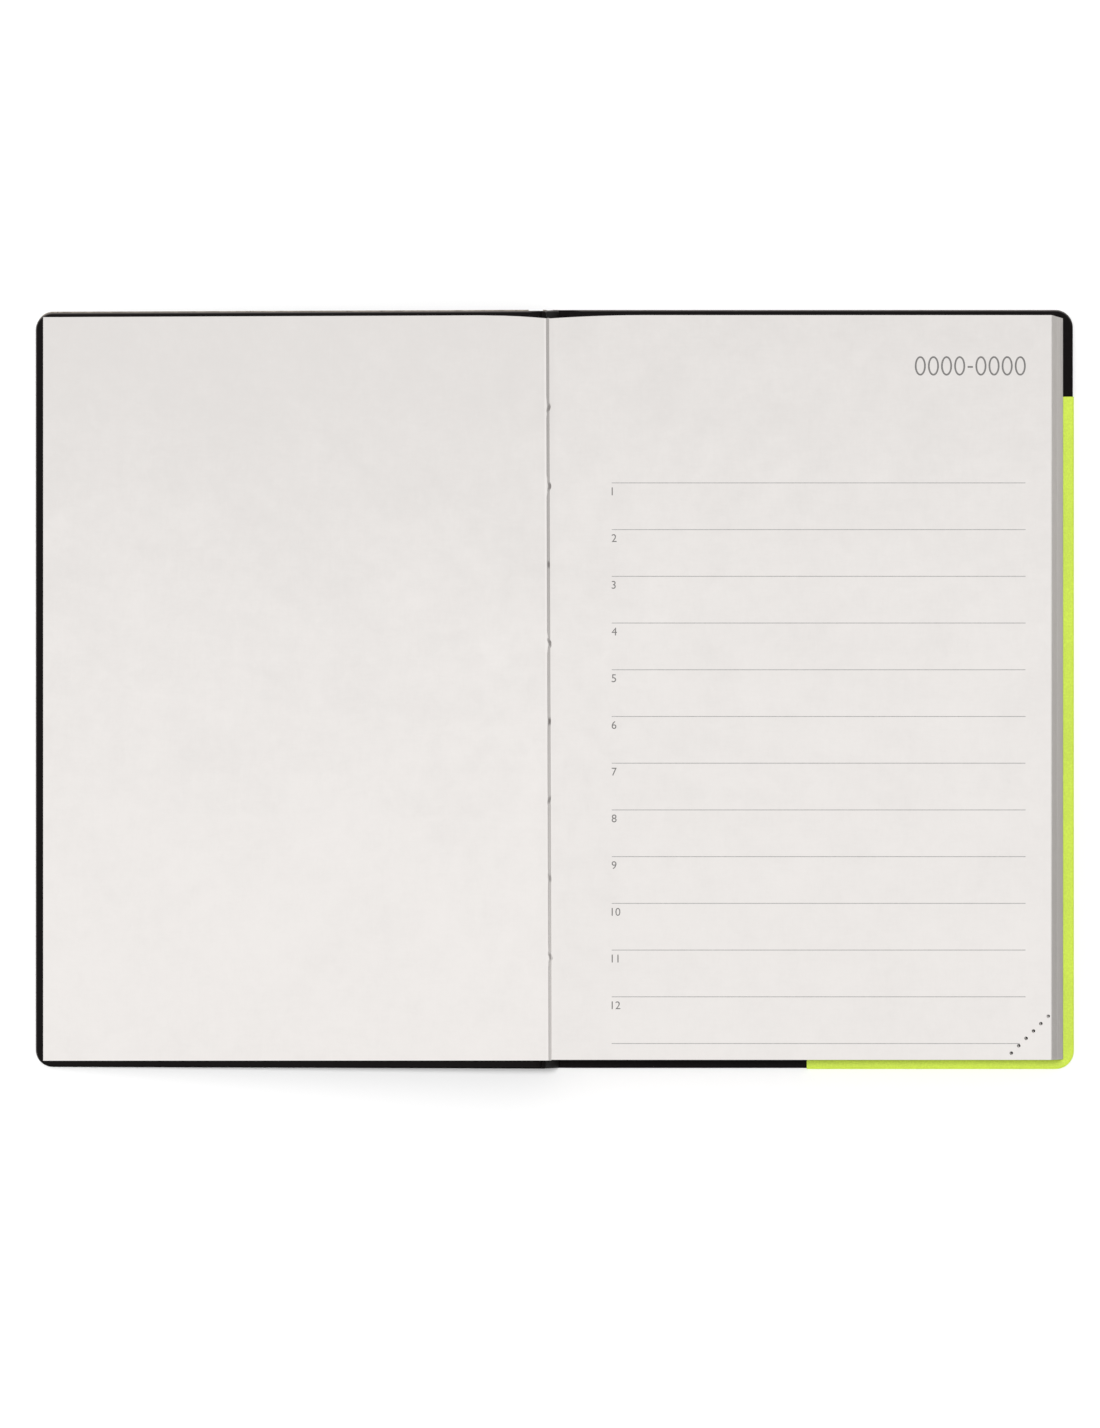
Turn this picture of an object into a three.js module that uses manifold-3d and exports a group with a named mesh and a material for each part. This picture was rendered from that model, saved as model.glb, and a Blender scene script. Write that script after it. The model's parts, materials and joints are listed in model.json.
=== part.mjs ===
// A soft-cover daily planner, thread-sewn, lying open at its title page on a table.
// Millimetres, +Z up. The page head points to +Y and the fore-edge of the block to +X.
// The front cover hangs from the top of the spine and slopes down to the table on the left.
// The back cover lies flat on the table with the book block on it.

import * as THREE from 'three';
import { mergeVertices } from 'three/addons/utils/BufferGeometryUtils.js';
import Module from 'manifold-3d';

// Leaves of the book block
const PAGE_WIDTH = 121.9;
const PAGE_HEIGHT = 180;
const LEAF_THICKNESS = 0.09;
const LEAVES_PER_SIGNATURE = 16;
const SIGNATURE_COUNT = 12;
const TURNING_SIGNATURES = 6;
const FOLD_ROUNDING = 0.4;
const FOLD_STEPS = 6;
const SEWN_FOLD_END = 1.2;
const FLYLEAF_THICKNESS = 0.12;

// Clearances
const LAYER_GAP = 0.03;
const GUTTER_GAP = 0.15;
const HINGE_RISE = 0.2;

// The block leans: its foot lies further right and nearer the tail than its top
const LEAN_FORE = 3.4;
const LEAN_TAIL = 0.3;

// Cover build-up, from the outside in
const SKIN_THICKNESS = 0.3;
const BOARD_RIM_THICKNESS = 0.5;
const PASTEDOWN_THICKNESS = 0.12;
const TURN_IN_WIDTH = 12;
const CORNER_RADIUS = 4.2;

// How far each cover stands out past the leaves, and each lining paper stays back from its edge
const HEAD_TAIL_SQUARE = 2.1;
const FRONT_FORE_SQUARE = 4.4;
const BACK_FORE_SQUARE = 2.4;
const FRONT_PASTEDOWN_MARGIN = 1.95;
const BACK_PASTEDOWN_MARGIN = 3;
const PASTEDOWN_START = 0.3;
const ENDPAPER_FOLD_WIDTH = 1;

// Flexible joint beside the spine: where the skin starts and where the board starts
const JOINT_SKIN_START = 2.5;
const JOINT_BOARD_START = 5;

// Lime colour block of the back cover
const LIME_FROM_HEAD = 21.1;
const LIME_FROM_GUTTER = 62.9;
const LIME_PROUD = 0.25;

// Spine layers, outwards from the folds
const GLUE_THICKNESS = 0.6;
const MULL_THICKNESS = 0.14;
const MULL_MARGIN = 9;
const HOLLOW_BACK = 0.2;
const SPINE_CARD_THICKNESS = 0.35;
const GLUE_DROP = 0.5;
const SPINE_DROP = 0.9;
const SPINE_FOOT_GAP = 0.15;

// Thread sewing
const STATION_COUNT = 8;
const STATION_PITCH = 19;
const FIRST_STATION_FROM_HEAD = 22;
const THREAD_RADIUS = 0.14;
const THREAD_LOOP_RADIUS = 0.19;
const THREAD_SIDES = 8;
const THREAD_SLOT_GAP = 0.03;
const THREAD_END_MARGIN = 0.6;

// Tear-off corner of the title leaf
const CORNER_LEG = 11.4;
const PERFORATION_PITCH = 2.53;
const PERFORATION_FROM_TAIL = 2.3;
const PERFORATION_FROM_FORE_EDGE = 1;
const PERFORATION_RADIUS = 0.4;
const PERFORATION_STEPS = 8;
const TEAR_GAP = 0.04;
const CORNER_STEPS = 8;

// Heights that follow from the layers
const coverThickness = 2 * SKIN_THICKNESS + BOARD_RIM_THICKNESS + PASTEDOWN_THICKNESS + 3 * LAYER_GAP;
const turnInTop = 2 * SKIN_THICKNESS + BOARD_RIM_THICKNESS + 2 * LAYER_GAP;
const boardBottom = SKIN_THICKNESS + LAYER_GAP;
const boardRimTop = boardBottom + BOARD_RIM_THICKNESS;
const pastedownBottom = turnInTop + LAYER_GAP;
const signatureThickness = LEAVES_PER_SIGNATURE * LEAF_THICKNESS;
const signaturePitch = signatureThickness + LAYER_GAP;
const blockDepth = SIGNATURE_COUNT * signaturePitch;
const flyleafBottom = coverThickness + LAYER_GAP;
const blockTop = flyleafBottom + FLYLEAF_THICKNESS + LAYER_GAP + blockDepth;

// Cover sizes that follow from the page
const coverHeight = PAGE_HEIGHT + 2 * HEAD_TAIL_SQUARE;
const frontCoverLength = PAGE_WIDTH + FRONT_FORE_SQUARE;
const backCoverLength = PAGE_WIDTH + BACK_FORE_SQUARE;

// The front cover turns about a line just above the title leaf, until its fore-edge meets the table
const frontHingeHeight = blockTop + HINGE_RISE;
const frontFaceDrop = HINGE_RISE / 2;
const frontOuterDrop = frontFaceDrop + coverThickness;
const frontSlope =
  Math.asin(frontHingeHeight / Math.hypot(frontCoverLength, frontOuterDrop)) -
  Math.atan2(frontOuterDrop, frontCoverLength);

// The back cover turns about a line at the foot of the folds
const backHingeX = LEAN_FORE;
const backHingeHeight = coverThickness + LAYER_GAP / 2;

// The origin is the middle of the footprint, so the gutter stands a little to one side of it
const frontReach = frontCoverLength * Math.cos(frontSlope) - frontFaceDrop * Math.sin(frontSlope);
const backReach = backHingeX + backCoverLength + LIME_PROUD;
const gutterX = (frontReach - backReach) / 2;

const wasm = await Module();
wasm.setup();

const paper = new THREE.MeshStandardMaterial({ color: 0xebe7e4, roughness: 0.9, metalness: 0 });
const paperEdge = new THREE.MeshStandardMaterial({ color: 0xd9d5d1, roughness: 0.95, metalness: 0 });
const blackSkin = new THREE.MeshStandardMaterial({ color: 0x15120f, roughness: 0.55, metalness: 0 });
const limeSkin = new THREE.MeshStandardMaterial({ color: 0xcfe946, roughness: 0.5, metalness: 0 });
const greyBoard = new THREE.MeshStandardMaterial({ color: 0x8d8578, roughness: 0.95, metalness: 0 });
const gauze = new THREE.MeshStandardMaterial({ color: 0xe4dfd2, roughness: 1, metalness: 0 });
const bindingGlue = new THREE.MeshStandardMaterial({ color: 0xe9e3cf, roughness: 0.4, metalness: 0 });
const thread = new THREE.MeshStandardMaterial({ color: 0xf2efe9, roughness: 0.8, metalness: 0 });

function toSolid(geometry) {
  const bare = geometry.clone();
  bare.deleteAttribute('normal');
  bare.deleteAttribute('uv');
  const merged = mergeVertices(bare, 1e-5);
  return new wasm.Manifold(
    new wasm.Mesh({
      numProp: 3,
      vertProperties: new Float32Array(merged.attributes.position.array),
      triVerts: new Uint32Array(merged.index.array),
    }),
  );
}

function toGeometry(solid) {
  const { vertProperties, triVerts } = solid.getMesh();
  const geometry = new THREE.BufferGeometry();
  geometry.setAttribute('position', new THREE.BufferAttribute(vertProperties, 3));
  geometry.setIndex(new THREE.BufferAttribute(triVerts, 1));
  const faceted = geometry.toNonIndexed();
  faceted.computeVertexNormals();
  return faceted;
}

function namedMesh(name, geometry, material) {
  const mesh = new THREE.Mesh(geometry, material);
  mesh.name = name;
  return mesh;
}

// A flat plate: a shape in the XY plane, extruded from one height to another
function plate(shape, bottom, top, curveSegments = CORNER_STEPS) {
  const geometry = new THREE.ExtrudeGeometry(shape, {
    depth: top - bottom,
    bevelEnabled: false,
    curveSegments,
  });
  return geometry.translate(0, 0, bottom);
}

// A rectangle in the XY plane whose two corners at its far X end are rounded
function roundedFarEnd(nearX, farX, halfHeight, radius) {
  const shape = new THREE.Shape();
  shape.moveTo(nearX, -halfHeight);
  shape.lineTo(farX - radius, -halfHeight);
  shape.absarc(farX - radius, radius - halfHeight, radius, -Math.PI / 2, 0, false);
  shape.lineTo(farX, halfHeight - radius);
  shape.absarc(farX - radius, halfHeight - radius, radius, 0, Math.PI / 2, false);
  shape.lineTo(nearX, halfHeight);
  shape.closePath();
  return shape;
}

function rectangle(nearX, farX, lowY, highY) {
  const shape = new THREE.Shape();
  shape.moveTo(nearX, lowY);
  shape.lineTo(farX, lowY);
  shape.lineTo(farX, highY);
  shape.lineTo(nearX, highY);
  shape.closePath();
  return shape;
}

// A cover skin lying on its outer face, spine side at small X: one sheet below the board,
// turned up round the head, tail and fore-edge, and in over the board's rim.
function coverSkin(length, proud) {
  const half = coverHeight / 2;
  const outside = toSolid(
    plate(roundedFarEnd(JOINT_SKIN_START, length + proud, half + proud, CORNER_RADIUS + proud), 0, turnInTop),
  );
  const boardRoom = toSolid(
    plate(
      roundedFarEnd(0, length - SKIN_THICKNESS, half - SKIN_THICKNESS, CORNER_RADIUS - SKIN_THICKNESS),
      SKIN_THICKNESS,
      boardRimTop + LAYER_GAP,
    ),
  );
  const window = toSolid(
    plate(
      rectangle(0, length - TURN_IN_WIDTH, TURN_IN_WIDTH - half, half - TURN_IN_WIDTH),
      SKIN_THICKNESS,
      turnInTop + 1,
    ),
  );
  return outside.subtract(boardRoom).subtract(window);
}

// The board fills the skin: thin under the turn-ins, and level with them in the middle
function coverBoard(length) {
  const inset = SKIN_THICKNESS + LAYER_GAP;
  const half = coverHeight / 2;
  const rim = toSolid(
    plate(
      roundedFarEnd(JOINT_BOARD_START, length - inset, half - inset, CORNER_RADIUS - inset),
      boardBottom,
      boardRimTop,
    ),
  );
  const reach = TURN_IN_WIDTH + LAYER_GAP;
  const middle = toSolid(
    plate(
      rectangle(JOINT_BOARD_START, length - reach, reach - half, half - reach),
      boardBottom,
      turnInTop,
    ),
  );
  return rim.add(middle);
}

function liningPaper(nearX, farX, margin) {
  const half = coverHeight / 2 - margin;
  return plate(rectangle(nearX, farX, -half, half), pastedownBottom, coverThickness);
}

// The lining paper is one sheet, split at the narrow strip along its fold that bends in the gutter
function makeFrontCover() {
  const cover = new THREE.Group();
  cover.position.z = -frontOuterDrop;
  cover.rotation.z = Math.PI;
  const foldEnd = PASTEDOWN_START + ENDPAPER_FOLD_WIDTH;
  const farEdge = frontCoverLength - FRONT_PASTEDOWN_MARGIN;
  const fold = liningPaper(PASTEDOWN_START, foldEnd, FRONT_PASTEDOWN_MARGIN);
  const pastedown = liningPaper(foldEnd + LAYER_GAP, farEdge, FRONT_PASTEDOWN_MARGIN);
  cover.add(
    namedMesh('front_cover_skin', toGeometry(coverSkin(frontCoverLength, 0)), blackSkin),
    namedMesh('front_cover_board', toGeometry(coverBoard(frontCoverLength)), greyBoard),
    namedMesh('front_pastedown', pastedown, paper),
    namedMesh('front_endpaper_fold', fold, paper),
  );
  const hinge = new THREE.Group();
  hinge.position.z = frontHingeHeight;
  hinge.rotation.y = -frontSlope;
  hinge.add(cover);
  return hinge;
}

// The lime skin is a rectangle of its own at the fore-edge and tail, butted against the black one
function makeBackCover() {
  const cover = new THREE.Group();
  cover.position.x = backHingeX;
  const limeStart = LIME_FROM_GUTTER - backHingeX;
  const limeTop = coverHeight / 2 - LIME_FROM_HEAD;
  const past = backCoverLength + CORNER_RADIUS;
  const limeField = toSolid(
    plate(rectangle(limeStart, past, -coverHeight, limeTop), -1, coverThickness + 1),
  );
  const blackCut = toSolid(
    plate(
      rectangle(limeStart - LAYER_GAP, past, -coverHeight, limeTop + LAYER_GAP),
      -1,
      coverThickness + 1,
    ),
  );
  const black = coverSkin(backCoverLength, 0).subtract(blackCut);
  const farEdge = backCoverLength - BACK_PASTEDOWN_MARGIN;
  const pastedown = liningPaper(PASTEDOWN_START, farEdge, BACK_PASTEDOWN_MARGIN);
  const lime = coverSkin(backCoverLength, LIME_PROUD).intersect(limeField);
  cover.add(
    namedMesh('back_cover_skin', toGeometry(black), blackSkin),
    namedMesh('back_lime_skin', toGeometry(lime), limeSkin),
    namedMesh('back_cover_board', toGeometry(coverBoard(backCoverLength)), greyBoard),
    namedMesh('back_pastedown', pastedown, paper),
  );
  return cover;
}

// Block pieces are made upright below height 0 and then sheared by the block's lean
function leanMatrix(towardsTail) {
  const fore = -LEAN_FORE / blockDepth;
  const tail = towardsTail / blockDepth;
  return new THREE.Matrix4().makeShear(0, 0, 0, 0, fore, tail);
}

function leaningLeaves(geometry) {
  return geometry.applyMatrix4(leanMatrix(LEAN_TAIL));
}

function leaningSpine(geometry) {
  return geometry.applyMatrix4(leanMatrix(0));
}

// Leaves in section, from a rounded fold at the spine to a square end at farX
function foldedSection(top, thickness, farX) {
  const section = new THREE.Shape();
  const middle = top - thickness / 2;
  const foldX = GUTTER_GAP + FOLD_ROUNDING;
  section.moveTo(farX, top);
  section.lineTo(foldX, top);
  section.absellipse(foldX, middle, FOLD_ROUNDING, thickness / 2, Math.PI / 2, Math.PI * 1.5, false, 0);
  section.lineTo(farX, top - thickness);
  section.closePath();
  return section;
}

// A section of leaves, carried from head to tail
function leavesAlongSpine(section) {
  const geometry = new THREE.ExtrudeGeometry(section, {
    depth: PAGE_HEIGHT,
    bevelEnabled: false,
    curveSegments: FOLD_STEPS,
  });
  geometry.rotateX(Math.PI / 2);
  return leaningLeaves(geometry.translate(0, PAGE_HEIGHT / 2, 0));
}

// The title leaf is the first leaf of the first signature, so that signature has one leaf fewer.
// In a signature that turns, the sewn fold stays at the spine and its leaves turn from it.
function makeSignature(index) {
  const titleRoom = index === 0 ? LEAF_THICKNESS + LAYER_GAP : 0;
  const top = -index * signaturePitch - titleRoom;
  const thickness = signatureThickness - titleRoom;
  const name = 'signature_' + String(index + 1).padStart(2, '0');
  if (index >= TURNING_SIGNATURES) {
    return [namedMesh(name, leavesAlongSpine(foldedSection(top, thickness, PAGE_WIDTH)), paperEdge)];
  }
  const fold = foldedSection(top, thickness, SEWN_FOLD_END);
  const leaves = rectangle(SEWN_FOLD_END + LAYER_GAP, PAGE_WIDTH, top - thickness, top);
  return [
    namedMesh(name, leavesAlongSpine(leaves), paperEdge),
    namedMesh(name + '_fold', leavesAlongSpine(fold), paperEdge),
  ];
}

// The tear line runs at 45 degrees across the tail corner. Its holes are cut half into each side.
function perforationCentres(offset) {
  const diagonal = Math.SQRT1_2;
  const room = CORNER_LEG / diagonal - PERFORATION_FROM_TAIL - PERFORATION_FROM_FORE_EDGE;
  return Array.from({ length: Math.floor(room / PERFORATION_PITCH) + 1 }, (_, index) => {
    const along = (PERFORATION_FROM_TAIL + index * PERFORATION_PITCH) * diagonal;
    return new THREE.Vector2(
      PAGE_WIDTH - CORNER_LEG + along - offset * diagonal,
      along - PAGE_HEIGHT / 2 + offset * diagonal,
    );
  });
}

function makeTitleLeaf() {
  const half = PAGE_HEIGHT / 2;
  const shift = (TEAR_GAP / 2) * Math.SQRT2;
  const lineStart = PAGE_WIDTH - CORNER_LEG - shift;
  const lineEnd = CORNER_LEG - half + shift;
  const shape = new THREE.Shape();
  const nearX = SEWN_FOLD_END + LAYER_GAP;
  shape.moveTo(nearX, -half);
  shape.lineTo(lineStart, -half);
  for (const hole of perforationCentres(TEAR_GAP / 2)) {
    shape.absarc(hole.x, hole.y, PERFORATION_RADIUS, Math.PI * 1.25, Math.PI / 4, true);
  }
  shape.lineTo(PAGE_WIDTH, lineEnd);
  shape.lineTo(PAGE_WIDTH, half);
  shape.lineTo(nearX, half);
  shape.closePath();
  const geometry = plate(shape, -LEAF_THICKNESS, 0, PERFORATION_STEPS);
  return namedMesh('title_leaf', leaningLeaves(geometry), paper);
}

function makeTitleLeafFold() {
  const section = rectangle(GUTTER_GAP, SEWN_FOLD_END, -LEAF_THICKNESS, 0);
  return namedMesh('title_leaf_fold', leavesAlongSpine(section), paper);
}

function makeTearOffCorner() {
  const half = PAGE_HEIGHT / 2;
  const shift = (TEAR_GAP / 2) * Math.SQRT2;
  const shape = new THREE.Shape();
  shape.moveTo(PAGE_WIDTH - CORNER_LEG + shift, -half);
  shape.lineTo(PAGE_WIDTH, -half);
  shape.lineTo(PAGE_WIDTH, CORNER_LEG - half - shift);
  for (const hole of perforationCentres(-TEAR_GAP / 2).reverse()) {
    shape.absarc(hole.x, hole.y, PERFORATION_RADIUS, Math.PI / 4, -Math.PI * 0.75, true);
  }
  shape.closePath();
  const geometry = plate(shape, -LEAF_THICKNESS, 0, PERFORATION_STEPS);
  return namedMesh('title_leaf_corner', leaningLeaves(geometry), paper);
}

function makeBackFlyleaf() {
  const half = PAGE_HEIGHT / 2;
  const shape = rectangle(GUTTER_GAP, PAGE_WIDTH, -half, half);
  const mesh = namedMesh('back_flyleaf', plate(shape, 0, FLYLEAF_THICKNESS), paper);
  mesh.position.set(LEAN_FORE, -LEAN_TAIL, flyleafBottom);
  return mesh;
}

function stationY(index) {
  return PAGE_HEIGHT / 2 - FIRST_STATION_FROM_HEAD - index * STATION_PITCH;
}

// The glue is a plate over the folds, with an upright slot at each sewing station for the thread
function makeSpineGlue() {
  const half = PAGE_HEIGHT / 2 - LEAN_TAIL;
  const slotHalf = THREAD_LOOP_RADIUS + THREAD_SLOT_GAP;
  const slotFloor = GUTTER_GAP - LAYER_GAP - 2 * slotHalf;
  const face = GUTTER_GAP - LAYER_GAP;
  const shape = new THREE.Shape();
  shape.moveTo(face - GLUE_THICKNESS, half);
  shape.lineTo(face - GLUE_THICKNESS, -half);
  shape.lineTo(face, -half);
  for (let index = STATION_COUNT - 1; index >= 0; index -= 1) {
    const y = stationY(index);
    shape.lineTo(face, y - slotHalf);
    shape.lineTo(slotFloor, y - slotHalf);
    shape.lineTo(slotFloor, y + slotHalf);
    shape.lineTo(face, y + slotHalf);
  }
  shape.lineTo(face, half);
  shape.closePath();
  return namedMesh('spine_glue', leaningSpine(plate(shape, -blockDepth, -GLUE_DROP)), bindingGlue);
}

// Each needle leaves one upright chain of thread, with a loop at every signature
function makeThreadChain(index) {
  const top = -THREAD_END_MARGIN;
  const bottom = THREAD_END_MARGIN - blockDepth;
  const profile = [new THREE.Vector2(0, bottom), new THREE.Vector2(THREAD_RADIUS, bottom)];
  const pitch = (top - bottom) / SIGNATURE_COUNT;
  for (let loop = 0; loop < SIGNATURE_COUNT; loop += 1) {
    const start = bottom + loop * pitch;
    profile.push(new THREE.Vector2(THREAD_LOOP_RADIUS, start + pitch / 2));
    profile.push(new THREE.Vector2(THREAD_RADIUS, start + pitch));
  }
  profile.push(new THREE.Vector2(0, top));
  const geometry = new THREE.LatheGeometry(profile, THREAD_SIDES);
  geometry.rotateX(Math.PI / 2);
  const centreX = GUTTER_GAP - LAYER_GAP - THREAD_SLOT_GAP - THREAD_LOOP_RADIUS;
  geometry.translate(centreX, stationY(index), 0);
  return namedMesh('thread_chain_' + (index + 1), leaningSpine(geometry), thread);
}

function makeSpineMull() {
  const outer = GUTTER_GAP - LAYER_GAP - GLUE_THICKNESS - LAYER_GAP;
  const half = PAGE_HEIGHT / 2 - MULL_MARGIN;
  const shape = rectangle(outer - MULL_THICKNESS, outer, -half, half);
  return namedMesh('spine_mull', leaningSpine(plate(shape, -blockDepth, -SPINE_DROP)), gauze);
}

// The spine skin is turned in over the ends of a card strip at head and tail
function makeSpineCase() {
  const mullOuter = GUTTER_GAP - 2 * LAYER_GAP - GLUE_THICKNESS - MULL_THICKNESS;
  const inner = mullOuter - HOLLOW_BACK;
  const cardInner = inner - SKIN_THICKNESS - LAYER_GAP;
  const cardOuter = cardInner - SPINE_CARD_THICKNESS;
  const skinInner = cardOuter - LAYER_GAP;
  const skinOuter = skinInner - SKIN_THICKNESS;
  const half = coverHeight / 2;
  const foot = coverThickness + SPINE_FOOT_GAP - blockTop;
  const head = -SPINE_DROP;
  const skinShape = new THREE.Shape();
  skinShape.moveTo(skinOuter, -half);
  skinShape.lineTo(inner, -half);
  skinShape.lineTo(inner, TURN_IN_WIDTH - half);
  skinShape.lineTo(inner - SKIN_THICKNESS, TURN_IN_WIDTH - half);
  skinShape.lineTo(inner - SKIN_THICKNESS, SKIN_THICKNESS - half);
  skinShape.lineTo(skinInner, SKIN_THICKNESS - half);
  skinShape.lineTo(skinInner, half - SKIN_THICKNESS);
  skinShape.lineTo(inner - SKIN_THICKNESS, half - SKIN_THICKNESS);
  skinShape.lineTo(inner - SKIN_THICKNESS, half - TURN_IN_WIDTH);
  skinShape.lineTo(inner, half - TURN_IN_WIDTH);
  skinShape.lineTo(inner, half);
  skinShape.lineTo(skinOuter, half);
  skinShape.closePath();
  const cardHalf = half - SKIN_THICKNESS - LAYER_GAP;
  const cardShape = rectangle(cardOuter, cardInner, -cardHalf, cardHalf);
  return [
    namedMesh('spine_skin', leaningSpine(plate(skinShape, foot, head)), blackSkin),
    namedMesh('spine_card', leaningSpine(plate(cardShape, foot, head)), greyBoard),
  ];
}

function makeBlock() {
  const block = new THREE.Group();
  block.position.z = blockTop;
  block.add(makeTitleLeaf(), makeTitleLeafFold(), makeTearOffCorner());
  for (let index = 0; index < SIGNATURE_COUNT; index += 1) {
    block.add(...makeSignature(index));
  }
  block.add(makeSpineGlue(), makeSpineMull(), ...makeSpineCase());
  for (let index = 0; index < STATION_COUNT; index += 1) {
    block.add(makeThreadChain(index));
  }
  return block;
}

const planner = new THREE.Group();
planner.position.x = gutterX;
planner.add(makeFrontCover(), makeBackCover(), makeBackFlyleaf(), makeBlock());

// Hinge lines in the planner's own frame, and how far the opened front cover lies past flat
planner.userData.hinges = {
  frontCover: { x: gutterX, z: frontHingeHeight, openPastFlat: frontSlope },
  backCover: { x: gutterX + backHingeX, z: backHingeHeight },
  tearLine: { x: gutterX + PAGE_WIDTH - CORNER_LEG, y: -PAGE_HEIGHT / 2, z: blockTop + LAYER_GAP },
};

export default planner;
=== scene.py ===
# A soft-cover, thread-sewn daily planner lying open at its title page.
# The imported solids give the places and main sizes, and this file the visible pieces and finishes.
# Metres, +Z up. The head of the pages points to +Y and the fore-edge of the block to +X.

import json
import math
import random

import bmesh
import bpy
from bpy.props import (
    FloatProperty,
    FloatVectorProperty,
    IntProperty,
    PointerProperty,
    StringProperty,
)
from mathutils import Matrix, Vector


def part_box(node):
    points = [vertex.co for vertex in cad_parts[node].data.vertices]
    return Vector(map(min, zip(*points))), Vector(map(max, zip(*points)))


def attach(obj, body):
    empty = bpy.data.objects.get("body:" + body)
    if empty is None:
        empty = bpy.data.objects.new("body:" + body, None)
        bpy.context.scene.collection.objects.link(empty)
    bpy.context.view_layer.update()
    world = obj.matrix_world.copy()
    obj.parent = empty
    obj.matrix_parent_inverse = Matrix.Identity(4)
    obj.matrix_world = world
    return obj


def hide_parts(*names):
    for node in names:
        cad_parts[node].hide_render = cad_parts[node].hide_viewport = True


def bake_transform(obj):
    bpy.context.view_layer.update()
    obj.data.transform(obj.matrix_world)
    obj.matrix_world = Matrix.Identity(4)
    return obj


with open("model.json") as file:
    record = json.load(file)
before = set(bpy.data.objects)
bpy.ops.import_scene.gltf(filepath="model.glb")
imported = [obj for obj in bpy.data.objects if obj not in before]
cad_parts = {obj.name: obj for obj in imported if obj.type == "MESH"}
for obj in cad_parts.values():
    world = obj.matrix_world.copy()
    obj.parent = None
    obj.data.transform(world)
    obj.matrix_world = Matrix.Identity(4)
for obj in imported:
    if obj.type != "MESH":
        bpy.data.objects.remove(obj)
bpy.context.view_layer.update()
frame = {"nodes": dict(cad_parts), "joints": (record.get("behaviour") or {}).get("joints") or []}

bl_info = {
    "name": "Daily planner",
    "version": (1, 0, 0),
    "blender": (4, 5, 0),
    "location": "View3D > Sidebar > Planner",
    "description": "Makes the visible pieces of an open soft-cover planner",
    "category": "Add Mesh",
}

MM = 0.001
SEED = 27
TURNING_SIGNATURES = 6
SIGNATURES = [f"signature_{number:02d}" for number in range(1, 13)]
THREAD_CHAINS = [f"thread_chain_{number}" for number in range(1, 9)]


# Places read from the frame

def joint_named(name):
    """The frame's joint of this name."""
    return next(joint for joint in frame["joints"] if joint["name"] == name)


GUTTER = Vector(joint_named("front_cover_hinge")["pos_m"])
FOOT = Vector(joint_named("back_cover_hinge")["pos_m"])
FRONT_SLOPE = math.radians(-joint_named("front_cover_hinge")["range_deg"][0] - 180)

title_low, title_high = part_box("title_leaf")
last_low, last_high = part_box(SIGNATURES[-1])
PAGE_TOP = title_high.z
LEAF_THICKNESS = title_high.z - title_low.z
HALF_PAGE = title_high.y
LEAN_FORE = (last_high.x - title_high.x) / (title_low.z - last_low.z)
LEAN_TAIL = (title_low.y - last_low.y) / (title_low.z - last_low.z)
PAGE_WIDTH = title_high.x - GUTTER.x - LEAN_FORE * LEAF_THICKNESS
GUTTER_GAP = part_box("title_leaf_fold")[0].x - GUTTER.x
corner_low, corner_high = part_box("title_leaf_corner")
CORNER_LEG = corner_high.x - corner_low.x

# The back cover lies flat, so its heights give the layers of both covers, from the outer face in
HALF_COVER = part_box("back_cover_skin")[1].y
TURN_IN_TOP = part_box("back_cover_skin")[1].z
PASTEDOWN_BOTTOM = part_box("back_pastedown")[0].z
PASTEDOWN_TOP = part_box("back_pastedown")[1].z
SKIN_THICKNESS = 0.3 * MM
BOARD_ROOM = TURN_IN_TOP - 2 * SKIN_THICKNESS
FRONT_FACE_DROP = (GUTTER.z - PAGE_TOP) / 2
FRONT_OUTER_DROP = FRONT_FACE_DROP + PASTEDOWN_TOP
LIME_PROUD = -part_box("back_lime_skin")[0].y - HALF_COVER
LIME_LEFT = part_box("back_lime_skin")[0].x
LIME_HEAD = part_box("back_lime_skin")[1].y
BACK_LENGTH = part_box("back_lime_skin")[1].x - FOOT.x - LIME_PROUD
FRONT_LENGTH = (
    GUTTER.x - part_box("front_cover_skin")[0].x
    + (FRONT_OUTER_DROP - TURN_IN_TOP) * math.sin(FRONT_SLOPE)
) / math.cos(FRONT_SLOPE)
FRONT_LINING_END = (
    GUTTER.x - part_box("front_pastedown")[0].x + FRONT_FACE_DROP * math.sin(FRONT_SLOPE)
) / math.cos(FRONT_SLOPE)
FRONT_LINING_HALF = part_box("front_pastedown")[1].y


def station_places():
    """The sewing stations along the spine, from head to tail."""
    return [(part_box(name)[0].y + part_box(name)[1].y) / 2 for name in THREAD_CHAINS]


STATIONS = station_places()


# Sizes and colours that a user would change

def length_setting(name, description, millimetres):
    """A setting that is a length. Its default is given here in millimetres."""
    return FloatProperty(
        name=name, description=description, default=millimetres * MM, unit="LENGTH", precision=6)


def colour_setting(name, description, colour):
    """A setting that is an opaque colour."""
    return FloatVectorProperty(
        name=name, description=description, default=(*colour, 1), subtype="COLOR", size=4, min=0, max=1)


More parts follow.
